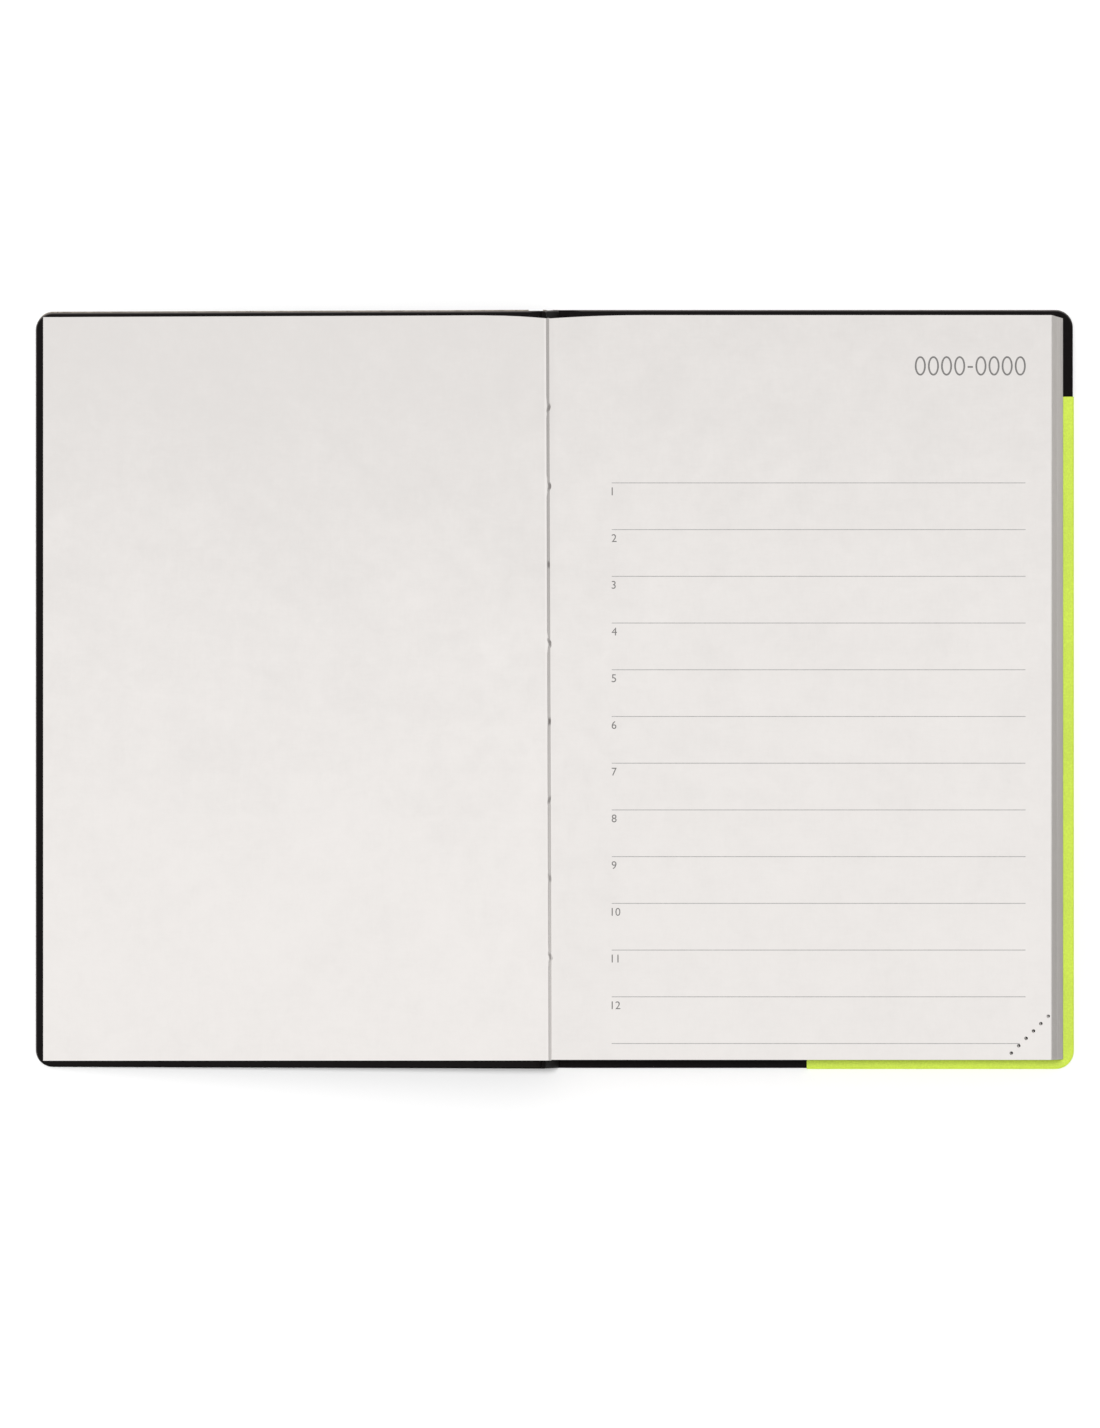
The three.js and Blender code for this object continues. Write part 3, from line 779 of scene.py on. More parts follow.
def folded_sheet(paper, upper, lower, depths, thickness, turning, trim, slip, fold_share, fold_start):
    """Two leaves joined by a fold: one sheet of paper of a signature, and its two corners."""
    sheet = Sheet()
    fold_radius = OUTER_FOLD_RADIUS * fold_share
    fold_centre = fold_start + OUTER_FOLD_RADIUS
    upper_depth, lower_depth = depths
    middle = (upper_depth + lower_depth) / 2
    half = (lower_depth - upper_depth) / 2
    columns = [value * MM for value in bent_columns(turning)]
    line = [(across, upper_depth, 0.0, -1.0) for across in columns] if upper else []
    if upper and lower:
        steps = 6
        for step in range(steps + 1):
            angle = math.pi / 2 + math.pi * step / steps
            line.append((fold_centre + fold_radius * math.cos(angle), middle - half * math.sin(angle),
                         math.cos(angle), -math.sin(angle)))
    elif lower:
        line.append((fold_start, lower_depth, 0.0, 1.0))
    if lower:
        line += [(across, lower_depth, 0.0, 1.0) for across in reversed(columns)]
    rows = []
    for side in (-1, 1):
        pairs = []
        for across, depth, normal_across, normal_depth in line:
            along = side * HALF_PAGE
            if side > 0:
                along += paper.head_room - head_dip(paper, across, paper.dip_reach_right)
            half_thickness = thickness / 2
            outer = block_point(across + normal_across * half_thickness, along,
                                depth + normal_depth * half_thickness)
            inner = block_point(across - normal_across * half_thickness, along,
                                depth - normal_depth * half_thickness)
            pairs.append((outer, inner))
        rows.append(sheet.row(pairs))
    tail, head = rows
    sheet.strip(tail, head)
    corners = []
    if upper:
        corners.append(
            leaf_far_end(sheet, paper, tail[0], head[0], upper_depth, thickness, trim[0], slip, True))
    if lower:
        corners.append(
            leaf_far_end(sheet, paper, tail[-1], head[-1], lower_depth, thickness, trim[1], slip, False))
    return [sheet] + corners


def signature_sheets(paper, name, index, dice):
    """The nested sheets of one signature. The first one lacks its top leaf, the title leaf."""
    nodes = [name] + ([f"{name}_fold"] if index < TURNING_SIGNATURES else [])
    top = PAGE_TOP - max(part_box(node)[1].z for node in nodes)
    bottom = PAGE_TOP - min(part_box(node)[0].z for node in nodes)
    leaves = LEAVES_IN_SIGNATURE - (1 if index == 0 else 0)
    pitch = (bottom - top) / leaves
    thickness = pitch * paper.leaf_fill
    drift = dice.uniform(-1, 1) * paper.trim_scatter
    trims = [drift + dice.uniform(-1, 1) * paper.trim_scatter for _ in range(leaves)]
    turning = index < TURNING_SIGNATURES
    slip = dice.uniform(-1, 1) * paper.hole_slip if index else 0.0
    fold_start = GUTTER_GAP + (GROOVE_CLEARANCE if index == 0 else 0.0)
    sheets = []
    last = leaves - 1
    if leaves % 2:
        depths = (0, top + (last + 0.5) * pitch)
        sheets += folded_sheet(
            paper, False, True, depths, thickness, turning, (0, trims[last]), slip, 1, fold_start)
        last -= 1
    pairs = (last + 1) // 2
    for nest in range(pairs):
        lower_leaf = last - nest
        depths = (top + (nest + 0.5) * pitch, top + (lower_leaf + 0.5) * pitch)
        trim = (trims[nest], trims[lower_leaf])
        share = 1 - nest / (pairs + 1)
        sheets += folded_sheet(
            paper, True, True, depths, thickness, turning, trim, slip, share, fold_start)
    return sheets


# How each sewing hole pulls the groove, from head to tail: bulge, slant and widening
NICK_SHAPES = [(0.65, -0.3, 0.35), (1.1, 0.0, 0.35), (0.0, 0.05, 0.05), (0.95, 0.5, 0.4),
               (0.3, 0.0, 0.1), (0.0, -0.25, 0.1), (0.2, 0.15, 0.15), (0.5, 0.45, 0.2)]

# How far from its sewing hole a nick ends, in half lengths
NICK_REACH = 2.2


def nick(paper, along):
    """How far the left and the right wall of the groove stray to the right near a sewing hole,
    and how much deeper its floor is."""
    squeeze_share = 0.4
    slant_share = 2.6
    left_widening = 0.4
    for station, (bulge, slant, widening) in zip(STATIONS, NICK_SHAPES):
        share = (along - station) / paper.nick_half_length
        if abs(share) < NICK_REACH:
            inside = max(0.0, 1 - share * share)
            hole = inside * inside
            fading = 1 - smooth_step(abs(share) - NICK_REACH + 1)
            squeeze = fading * (1 - inside) * squeeze_share * (bulge + widening)
            swing = bulge * hole - slant * share * inside * slant_share
            left = paper.nick_shift * (squeeze + swing - left_widening * widening * hole)
            right = paper.nick_shift * (swing + widening * hole)
            return left, right, paper.hole_depth * hole
    return 0.0, 0.0, 0.0


def rows_along(paper, half):
    """Places from tail to head, closer together round each sewing station."""
    places = {-half, half, half - 1.5 * MM, half - 3 * MM, half - 6 * MM, half - 10 * MM}
    reach = NICK_REACH * paper.nick_half_length
    for station in STATIONS:
        places.update(station + reach * step / 11 for step in range(-11, 12))
        places.add(station + 6 * MM)
        places.add(station - 6 * MM)
    return sorted(places)


# Shares of the groove's half width, and of its depth there, from the floor up to the page
GROOVE_WALL = [(0.8, 1.0), (0.9, 0.86), (0.98, 0.52), (1.07, 0.2), (1.18, 0.07), (1.4, 0.0)]

# Stretches at the gutter's ends, where its rows sag to the head's dip and are moved out to the ends
HEAD_END_REACH = 9 * MM
STRETCH_REACH = 20 * MM


def page_dip(paper, across):
    """How far a page falls towards the groove's lip."""
    return paper.fall_depth * max(0.0, 1 - across / paper.fall_reach) ** 2


def stretched_along(along, tail, head):
    """A row's place, moved out near the ends so that the rows reach from tail to head."""
    half = min(-tail, head)
    spare = (head - half) if along > 0 else (tail + half)
    return along + spare * smooth_step((abs(along) - half + STRETCH_REACH) / STRETCH_REACH)


def gutter_rows(paper, tail, head, dip_reach, columns, side, place):
    """Rows of corners of a page from the groove's floor outwards. Side is 1 for the right page."""
    rows = []
    for along in rows_along(paper, min(-tail, head)):
        end_share = smooth_step((along - head + HEAD_END_REACH) / HEAD_END_REACH)
        left, right, hollow = nick(paper, along)
        drift = paper.gutter_shift - along * paper.gutter_slant
        stray = right if side > 0 else left
        pairs = []
        for share, depth in GROOVE_WALL:
            across = share * paper.groove_half
            dip = paper.groove_depth * depth + hollow * depth + page_dip(paper, across)
            pairs.append((across + side * (stray + drift), dip))
        for across in columns:
            hold = 1 - smooth_step(across / paper.slant_reach)
            pairs.append((across + side * (stray + drift) * hold, page_dip(paper, across)))
        row = []
        for out, dip in pairs:
            sag = head_dip(paper, out, dip_reach) * end_share
            row.append(place(out, stretched_along(along, tail, head) - sag, dip))
        rows.append(row)
    return rows


def crease_rows(paper, tail, head, dip_reach, place):
    """The groove's floor, from the left wall's foot to the right wall's."""
    rows = []
    for along in rows_along(paper, min(-tail, head)):
        end_share = smooth_step((along - head + HEAD_END_REACH) / HEAD_END_REACH)
        left, right, hollow = nick(paper, along)
        drift = paper.gutter_shift - along * paper.gutter_slant
        row = []
        for share in (-1.0, -0.4, 0.3, 1.0):
            foot = GROOVE_WALL[0][0] * paper.groove_half * share
            stray = left if share < 0 else right
            dip = paper.groove_depth + hollow
            sag = head_dip(paper, 0.0, dip_reach) * end_share * 0.8
            row.append(place(-(foot + stray + drift), stretched_along(along, tail, head) - sag, dip))
        rows.append(row)
    return rows


# Straight pieces that a half-hole of the title leaf's tear line is made of
TITLE_HOLE_STEPS = 12


def title_sheets(paper):
    """The title leaf: the groove, the flat page, and the tear-off line's half-holes."""
    sheet = Sheet()

    def place(across, along, dip):
        return block_point(across, along, dip), block_point(across, along, dip + LEAF_THICKNESS)

    head = HALF_PAGE + paper.head_room
    columns = [value * MM for value in [0.6] + bent_columns(True)[::-1] + [60, 106]]
    grid = [sheet.row(pairs) for pairs in gutter_rows(
        paper, -HALF_PAGE, head, paper.dip_reach_right, columns, 1, place)]
    sheet.grid(grid)
    far_column = [row[-1] for row in grid]
    outline = [sheet.corner(*place(x, y, 0)) for x, y in tear_line(paper, 1, TITLE_HOLE_STEPS)]
    outline.append(sheet.corner(*place(PAGE_WIDTH, head, 0)))
    sheet.face(far_column[::-1] + outline)
    return [sheet]


def corner_sheets(paper):
    """The title leaf's tear-off corner, flat, with its own halves of the holes."""
    sheet = Sheet()
    points = tear_line(paper, -1, TITLE_HOLE_STEPS)
    points.append((PAGE_WIDTH, -HALF_PAGE))
    pairs = [(block_point(x, y, 0), block_point(x, y, LEAF_THICKNESS)) for x, y in points]
    sheet.face(sheet.row(pairs))
    return [sheet]


# Ink on the title page

# How high the underside of the ink stands above the paper, as a share of the ink's rise
INK_UNDERSIDE = 0.2


def ink_pair(printing, across, along):
    """A place on top of the ink and the one on its underside."""
    rise = printing.ink_rise
    return block_point(across, along, -rise), block_point(across, along, -INK_UNDERSIDE * rise)


def ruled_line(printing, index, end):
    """One ruled line, with ends a little softened."""
    sheet = Sheet()
    along = HALF_PAGE - printing.first_line - index * printing.line_pitch
    half = printing.line_width / 2
    end_share = 0.6
    steps = [0.0, 0.15 * MM, 0.5 * MM]
    places = [printing.line_start + step for step in steps]
    places += [end - step for step in reversed(steps)]
    low = []
    high = []
    for number, across in enumerate(places):
        taper = end_share if number in (0, len(places) - 1) else 1.0
        low.append(ink_pair(printing, across, along - half * taper))
        high.append(ink_pair(printing, across, along + half * taper))
    sheet.strip(sheet.row(low), sheet.row(high))
    return sheet


def ring_figure(printing, centre, width, height):
    """A round plain nought of constant stroke."""
    sheet = Sheet()
    steps = 40
    outside = []
    inside = []
    for step in range(steps):
        angle = 2 * math.pi * step / steps
        x, y = math.cos(angle), math.sin(angle)
        outside.append(ink_pair(printing, centre[0] + width / 2 * x, centre[1] + height / 2 * y))
        inside.append(ink_pair(printing, centre[0] + (width / 2 - printing.stroke) * x,
                               centre[1] + (height / 2 - printing.stroke) * y))
    outer = sheet.row(outside)
    inner = sheet.row(inside)
    sheet.strip(outer + outer[:1], inner + inner[:1])
    return sheet


def dash_figure(printing, centre, width):
    """A plain dash of the same stroke."""
    sheet = Sheet()
    half = printing.stroke / 2
    left = centre[0] - width / 2
    right = centre[0] + width / 2
    bottom = [ink_pair(printing, x, centre[1] - half) for x in (left, centre[0], right)]
    top = [ink_pair(printing, x, centre[1] + half) for x in (left, centre[0], right)]
    sheet.strip(sheet.row(bottom), sheet.row(top))
    return sheet


def figure_sheets(printing):
    """The row of plain noughts and a dash that fills the place of the large figures."""
    dash_room = 0.62
    dash_fill = 0.66
    dash_drop = 0.25 * MM
    nought_fill = 0.84
    text = printing.figures
    widths = [dash_room if sign == "-" else 1.0 for sign in text]
    step = printing.figure_run / sum(widths)
    middle = HALF_PAGE - printing.figure_drop - printing.figure_height / 2
    left = printing.figure_right - printing.figure_run
    sheets = []
    for sign, width in zip(text, widths):
        centre = (left + step * width / 2, middle)
        if sign == "-":
            sheets.append(dash_figure(printing, (centre[0], middle - dash_drop), step * width * dash_fill))
        else:
            sheets.append(ring_figure(printing, centre, step * nought_fill, printing.figure_height))
        left += step * width
    return sheets


def running_number(printing, index, shape):
    """Adds the plain number of one line to shape, as printed letters of the built-in typeface."""
    curve = bpy.data.curves.new(f"number_{index + 1}", "FONT")
    curve.body = str(index + 1)
    curve.resolution_u = 4
    curve.extrude = 0.01
    holder = bpy.data.objects.new(curve.name, curve)
    bpy.context.scene.collection.objects.link(holder)
    bpy.context.view_layer.update()
    mesh = bpy.data.meshes.new_from_object(holder.evaluated_get(bpy.context.evaluated_depsgraph_get()))
    bpy.data.objects.remove(holder)
    height = max(vertex.co.y for vertex in mesh.vertices)
    left = min(vertex.co.x for vertex in mesh.vertices)
    scale = printing.numeral_height / height
    line = HALF_PAGE - printing.first_line - index * printing.line_pitch
    base = line - printing.numeral_drop - printing.numeral_height
    for vertex in mesh.vertices:
        rise = printing.ink_rise if vertex.co.z > 0 else INK_UNDERSIDE * printing.ink_rise
        across = printing.line_start + (vertex.co.x - left) * scale
        vertex.co = block_point(across, base + vertex.co.y * scale, -rise)
    shape.from_mesh(mesh)
    bpy.data.meshes.remove(mesh)


# Cover skins

def front_along(cover, along):
    """A place along the front cover, whose skin is a hair less tall than its board's plain size."""
    return along * (1 - cover.front_narrowing) - cover.front_drop


def back_along(cover, along):
    """A place along the back cover, whose skin is a hair taller than its board's plain size."""
    return along * (1 + cover.back_spread) - cover.back_drop


def front_point(out, along, height):
    """A place on the front cover: out from the gutter line, and up from the cover's outer face."""
    drop = FRONT_OUTER_DROP - height
    cosine, sine = math.cos(FRONT_SLOPE), math.sin(FRONT_SLOPE)
    return Vector((GUTTER.x - out * cosine + drop * sine, along, GUTTER.z - out * sine - drop * cosine))


def back_point(out, along, height):
    """A place on the back cover: out from its hinge line, and up from the table."""
    return Vector((FOOT.x + out, along, height))


def rim_profile(cover, room, turn_in_thickness):
    """Section of a skin round the board's edge, from the turn-in's free edge to the outer face.
    Each row is the inset and height of the outer side and of the inner side."""
    sheet = SKIN_THICKNESS
    least_flat = 0.02 * MM
    least_inside = 0.03 * MM
    turn_in_rows = (2.6 * MM, 0.3 * MM)
    face_row = 0.5 * MM
    steps = 4
    top = sheet + room + turn_in_thickness
    radius = min(cover.edge_radius, (top - least_flat) / 2)
    inside = max(radius - sheet, least_inside)
    rows = [(None, top, None, top - turn_in_thickness),
            (turn_in_rows[0], top, turn_in_rows[0], top - turn_in_thickness),
            (radius + turn_in_rows[1], top, radius + turn_in_rows[1], top - turn_in_thickness)]
    for step in range(steps + 1):
        angle = math.pi / 2 * (1 - step / steps)
        x, y = math.cos(angle), math.sin(angle)
        rows.append((radius - radius * x, top - radius + radius * y,
                     radius - inside * x, top - turn_in_thickness - inside + inside * y))
    for step in range(steps + 1):
        angle = -math.pi / 2 * step / steps
        x, y = math.cos(angle), math.sin(angle)
        rows.append((radius - radius * x, radius + radius * y,
                     radius - inside * x, sheet + inside + inside * y))
    rows.append((radius + face_row, 0.0, radius + face_row, sheet))
    return rows


# How much painted highlight each row of the rim's section gets, on the rounded edge that faces the light
RIM_HIGHLIGHT = {4: 0.3, 5: 0.9, 6: 1.0, 7: 0.7, 8: 0.12}


def rim_path(start, end, spread):
    """Points of an edge from start to end, with one normal for all of them."""
    (start_x, start_y), (end_x, end_y) = start, end
    length = math.hypot(end_x - start_x, end_y - start_y)
    normal = ((end_y - start_y) / length, (start_x - end_x) / length)
    return [(start_x + (end_x - start_x) * share, start_y + (end_y - start_y) * share) + normal
            for share in spread]


def rim_corner(centre, radius, start_degrees, steps=10):
    """Points of a rounded corner, a quarter turn from start_degrees."""
    points = []
    for step in range(1, steps):
        angle = math.radians(start_degrees + 90 * step / steps)
        points.append((centre[0] + radius * math.cos(angle), centre[1] + radius * math.sin(angle),
                       math.cos(angle), math.sin(angle)))
    return points


def wrapped_skin(cover, runs, links, window, columns, pressed, lit_rim, place):
    """A skin turned in round the edges that runs follow, with a flat outer face between them.
    Links are the butted corners between one run and the next, window is the opening between the
    turn-ins, and columns is how many rows of corners cross the joint. Pressed gives the board's
    room and the turn-in's thickness at x, the next argument the side whose rim gets a painted
    highlight where the light falls, and place puts a flat point in its real place."""
    sheet = Sheet()
    low, high = window
    loop = []
    for run, link in zip(runs, links):
        previous = None
        for x, y, normal_x, normal_y in run:
            room, turn_in = pressed(x)
            # How squarely this edge faces the light, which sets its painted highlight
            facing_light = min(1.0, max(0.0, normal_x * lit_rim[0] + normal_y * lit_rim[1]))
            row = []
            for index, section in enumerate(rim_profile(cover, room, turn_in)):
                outer_inset, outer_height, inner_inset, inner_height = section
                if outer_inset is None:
                    free = (min(x, high[0]) if x > low[0] else x, min(max(y, low[1]), high[1]))
                    row.append((place(*free, outer_height), place(*free, inner_height)))
                else:
                    row.append((
                        place(x - normal_x * outer_inset, y - normal_y * outer_inset, outer_height),
                        place(x - normal_x * inner_inset, y - normal_y * inner_inset, inner_height),
                        facing_light * RIM_HIGHLIGHT.get(index, 0.0)))
            corners = sheet.row(row)
            if previous:
                sheet.strip(previous, corners)
            previous = corners
            loop.append(corners[-1])
        for x, y in link:
            loop.append(sheet.corner(place(x, y, 0.0), place(x, y, SKIN_THICKNESS)))
    for index in range(columns):
        sheet.face((loop[index + 1], loop[index], loop[-1 - index], loop[-2 - index]))
    rest = loop[columns:len(loop) - columns]
    sheet.face(reversed(rest))
    return sheet


def joint_line(start, radius, turn, sign, lift_of):
    """The outer face of a skin where it bends from the cover round to the spine."""

    def at(x, height):
        if x >= start:
            return x, lift_of(x) + height
        lift = lift_of(start)
        angle = min((start - x) / radius, turn)
        beyond = max(0.0, (start - x) - radius * turn)
        out = start - radius * math.sin(angle) - math.cos(angle) * beyond
        rise = lift - sign * (radius * (1 - math.cos(angle)) + math.sin(angle) * beyond)
        return out - sign * math.sin(angle) * height, rise + math.cos(angle) * height

    return at


BOARD_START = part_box("back_cover_board")[0].x - FOOT.x
SPINE_CLEARANCE = 0.03 * MM
# Where the close columns of corners across a joint end, and where the plain rim starts
JOINT_END = 1.04 * BOARD_START
PLAIN_RIM_START = 9 * MM


def risen(x, start, stretch):
    """0 up to start and 1 from a stretch beyond it, both as shares of the way to the board."""
    return smooth_step((x / BOARD_START - start) / stretch)


def pressed_joint(x):
    """Room for the board and thickness of the turn-in, which are pressed flat in the joint."""
    pressed_room = 0.07 * MM
    pressed_turn_in = 0.04 * MM
    room = pressed_room + risen(x, 0.76, 0.22) * (BOARD_ROOM - pressed_room)
    return room, pressed_turn_in + risen(x, 0.45, 0.25) * (SKIN_THICKNESS - pressed_turn_in)


def plain_rim(_):
    """The board's room and the turn-in's thickness where nothing is pressed."""
    return BOARD_ROOM, SKIN_THICKNESS


def front_skin_sheet(cover):
    """The front cover's skin, its joint, and the flap that meets the top of the spine."""
    radius = cover.corner_radius
    length = FRONT_LENGTH
    half = HALF_COVER
    spine_low, spine_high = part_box("spine_skin")
    lean = math.atan(LEAN_FORE)
    turn = math.pi / 2 - (lean - FRONT_SLOPE)
    bend = 0.45 * MM
    flap = 1.1 * MM
    spine_back = (GUTTER.x - spine_low.x) * math.cos(FRONT_SLOPE)
    spine_top = (GUTTER.z - spine_high.z) * math.sin(FRONT_SLOPE)
    start = spine_back + spine_top + SKIN_THICKNESS + SPINE_CLEARANCE + bend
    near = start - bend * turn - flap

    def lift(x):
        return cover.groove_lift * (1 - risen(x, 0.74, 0.24))

    line = joint_line(start, bend, turn, 1, lift)

    def place(x, y, height):
        out, raised = line(x, height)
        return front_point(out, front_along(cover, y), raised)

    joint = [near, near + flap / 2]
    joint += [near + flap + bend * turn * step / 5 for step in range(6)]
    joint += [start + (JOINT_END - start) * step / 12 for step in range(1, 13)]
    tail = [(x, -half, 0.0, -1.0) for x in joint]
    tail += rim_path((PLAIN_RIM_START, -half), (length - radius, -half), (0, 0.1, 0.35, 0.7, 0.97, 1))
    corner = rim_corner((length - radius, radius - half), radius, -90)
    side = rim_path((length, radius - half), (length, half - radius), (0, 0.02, 0.3, 0.7, 0.98, 1))
    run = tail + corner + side
    run += rim_corner((length - radius, half - radius), radius, 0)
    run += [(x, -y, 0.0, 1.0) for x, y, _, _ in reversed(tail)]
    window = ((0, cover.turn_in - half), (length - cover.turn_in, half - cover.turn_in))
    # The rim towards the head and the left gets the painted highlight
    return wrapped_skin(cover, [run], [[]], window, len(joint), pressed_joint, (1.0, 1.0), place)


def back_skin_sheets(cover):
    """The back cover's black skin with its joint, and the lime skin butted against it."""
    radius = cover.corner_radius
    length = BACK_LENGTH
    half = HALF_COVER
    spine_low, spine_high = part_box("spine_skin")
    lean = math.atan(LEAN_FORE)
    turn = math.pi / 2 - lean
    bend = 0.9 * MM
    flap = 1.3 * MM
    off = SKIN_THICKNESS + SPINE_CLEARANCE
    spine_foot = spine_low.x + (spine_high.z - spine_low.z) * LEAN_FORE - FOOT.x
    meeting = bend * (1 - math.cos(turn))
    face = spine_foot - off * math.cos(lean) + (spine_low.z - off * math.sin(lean) - meeting) * LEAN_FORE
    start = face + bend * math.sin(turn)
    near = start - bend * turn - flap

    def lift(x):
        return cover.groove_lift * risen(x, 0.1, 0.28) * (1 - risen(x, 0.74, 0.24))

    line = joint_line(start, bend, turn, -1, lift)

    def flat_place(x, y, height):
        return back_point(x, back_along(cover, y), height)

    def place(x, y, height):
        out, raised = line(x, height)
        return flat_place(out, y, raised)

    joint = [near, near + flap / 2]
    joint += [near + flap + bend * turn * step / 6 for step in range(7)]
    joint += [start + (JOINT_END - start) * step / 18 for step in range(1, 19)]
    butt_gap = 0.02 * MM
    butt_x = LIME_LEFT - FOOT.x - butt_gap
    butt_y = LIME_HEAD + butt_gap
    window = ((0, cover.turn_in - half), (length - cover.turn_in, half - cover.turn_in))
    joint_tail = [(x, -half, 0.0, -1.0) for x in joint]
    tail = joint_tail + rim_path((PLAIN_RIM_START, -half), (butt_x, -half), (0, 0.1, 0.5, 0.98, 1))
    head = rim_path((length, butt_y), (length, half - radius), (0, 0.05, 0.95, 1))
    head += rim_corner((length - radius, half - radius), radius, 0)
    head += rim_path((length - radius, half), (PLAIN_RIM_START, half), (0, 0.03, 0.4, 0.9, 1))
    head += [(x, -y, 0.0, 1.0) for x, y, _, _ in reversed(joint_tail)]
    # The rim at the head gets the painted highlight
    black = wrapped_skin(cover, [tail, head], [[(butt_x, butt_y)], []], window, len(joint),
                         pressed_joint, (0.0, 1.0), place)

    proud_length = length + LIME_PROUD
    proud_half = half + LIME_PROUD
    proud_radius = radius + LIME_PROUD
    lime_x = LIME_LEFT - FOOT.x
    run = rim_path((lime_x, -proud_half), (proud_length - proud_radius, -proud_half),
                   (0, 0.02, 0.5, 0.97, 1))
    run += rim_corner((proud_length - proud_radius, proud_radius - proud_half), proud_radius, -90)
    run += rim_path((proud_length, proud_radius - proud_half), (proud_length, LIME_HEAD),
                    (0, 0.02, 0.5, 0.98, 1))
    # The lime rim at the right and the tail gets a paler painted highlight
    lime = wrapped_skin(cover, [run], [[(lime_x, LIME_HEAD)]], window, 0, plain_rim, (0.6, -0.6),
                        flat_place)
    return black, lime


def spine_skin_sheets(cover):
    """The spine's skin: a leaning strip turned in at head and tail over its card, and the lip
    that folds over the card's top."""
    low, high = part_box("spine_skin")
    card_low, card_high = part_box("spine_card")
    half = HALF_COVER
    height = high.z - low.z
    thickness = high.x - low.x - height * LEAN_FORE

    def along_of(y, share):
        return back_along(cover, y) * (1 - share) + front_along(cover, y) * share

    def place(x, y, depth):
        across = low.x + (height - x) * LEAN_FORE + depth
        return Vector((across, along_of(y, x / height), low.z + x))

    def rim(_):
        return thickness - 2 * SKIN_THICKNESS, SKIN_THICKNESS

    spread = (0, 0.04, 0.5, 0.96, 1)
    tail = rim_path((0, -half), (height, -half), spread)
    head = rim_path((height, half), (0, half), spread)
    window = ((0, cover.turn_in - half), (height, half - cover.turn_in))
    # The rim at the head gets the painted highlight
    skin = wrapped_skin(cover, [tail, head], [[], []], window, 0, rim, (0.0, 1.0), place)

    lip = Sheet()
    lip_thickness = 0.12 * MM
    lip_rise = 0.3 * MM
    end_drop = 0.22 * MM
    end_row = 0.3 * MM
    card_inside = card_high.x - (card_high.z - card_low.z) * LEAN_FORE
    width = card_inside + lip_thickness - low.x
    steps = 8
    lip_rows = []
    for y in (-half, end_row - half, -half / 3, half / 3, half - end_row, half):
        end_fall = end_drop if abs(y) == half else 0.0
        row = []
        for step in range(steps + 1):
            angle = math.pi * (1 - step / steps)
            across = low.x + width / 2 * (1 + math.cos(angle))
            rise = lip_rise * math.sin(angle) - end_fall
            top = Vector((across, along_of(y, 1), high.z + rise))
            # The lip's head end gets the painted highlight
            row.append((top, top - Vector((0, 0, lip_thickness)), 0.8 if y == half else 0.0))
        lip_rows.append(lip.row(row))
    lip.grid(lip_rows[::-1])
    return [skin, lip]


def lining_sheets(paper):
    """The front lining paper, from the turned-in skin to the groove and through its floor."""
    sheet = Sheet()
    thickness = PASTEDOWN_TOP - PASTEDOWN_BOTTOM
    tail = -FRONT_LINING_HALF
    head = FRONT_LINING_HALF + paper.lining_head_room

    def place(out, along, dip):
        towards_corner = max(0.0, out / FRONT_LINING_END) * max(0.0, -along / HALF_PAGE)
        widened = along - paper.lining_tail_room * towards_corner
        return (front_point(out, widened, PASTEDOWN_TOP - dip),
                front_point(out, widened, PASTEDOWN_TOP - dip - thickness))

    columns = [value * MM for value in (0.62, 0.9, 1.2, 1.6, 2.1, 2.6, 4, 7, 11, 17, 60, 118)]
    grid = [sheet.row(pairs) for pairs in gutter_rows(
        paper, tail, head, paper.dip_reach_left, columns + [FRONT_LINING_END], -1, place)]
    floor_rows = [sheet.row(pairs) for pairs in crease_rows(
        paper, tail, head, paper.dip_reach_left, place)]
    sheet.grid([row[::-1] for row in grid])
    for wall, nearest, floor, next_floor in zip(grid, grid[1:], floor_rows, floor_rows[1:]):
        first = [wall[1], wall[0]] + floor[1:]
        second = [nearest[1], nearest[0]] + next_floor[1:]
        for index in range(1, len(first) - 1):
            sheet.face((first[index], first[index + 1], second[index + 1], second[index]), 2)
    return [sheet]


def back_lining_sheet(low, high, near, columns):
    """A back paper between two heights, from its fold at near to its fore-edge."""
    sheet = Sheet()
    places = [near + value * MM for value in columns] + [high.x - 2 * MM, high.x]
    rows = []
    for along in (low.y, low.y + 2 * MM, 0.0, high.y - 2 * MM, high.y):
        rows.append(sheet.row([(Vector((x, along, high.z)), Vector((x, along, low.z))) for x in places]))
    sheet.grid(rows)
    return sheet


# Operators, one for each piece or group of like pieces

class PLANNER_OT_leaves(bpy.types.Operator):
    """Make the folded sheets of the twelve signatures"""

    bl_idname = "planner.leaves"
    bl_label = "Leaves"

    def execute(self, context):
        paper = context.scene.planner_paper
        dice = random.Random(SEED)
        for index, name in enumerate(SIGNATURES):
            sheets = signature_sheets(paper, name, index, dice)
            made = object_of(f"{name}_leaves", sheets, ["page_paper", "cut_edge"])
            if index < TURNING_SIGNATURES:
                height = (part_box(name)[0].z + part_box(name)[1].z) / 2
                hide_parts(name, f"{name}_fold")
                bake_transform(made)
            else:
                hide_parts(name)
                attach(made, "block")
        return {"FINISHED"}


class PLANNER_OT_title_leaf(bpy.types.Operator):
    """Make the title leaf and its tear-off corner"""

    bl_idname = "planner.title_leaf"
    bl_label = "Title leaf"

    def execute(self, context):
        paper = context.scene.planner_paper
        leaf = object_of("title_page", title_sheets(paper), ["page_paper", "cut_edge"])
        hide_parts("title_leaf", "title_leaf_fold")
        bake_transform(leaf)
        corner = object_of("tear_off_corner", corner_sheets(paper), ["page_paper", "cut_edge"])
        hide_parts("title_leaf_corner")
        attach(corner, "title_leaf_corner")
        return {"FINISHED"}


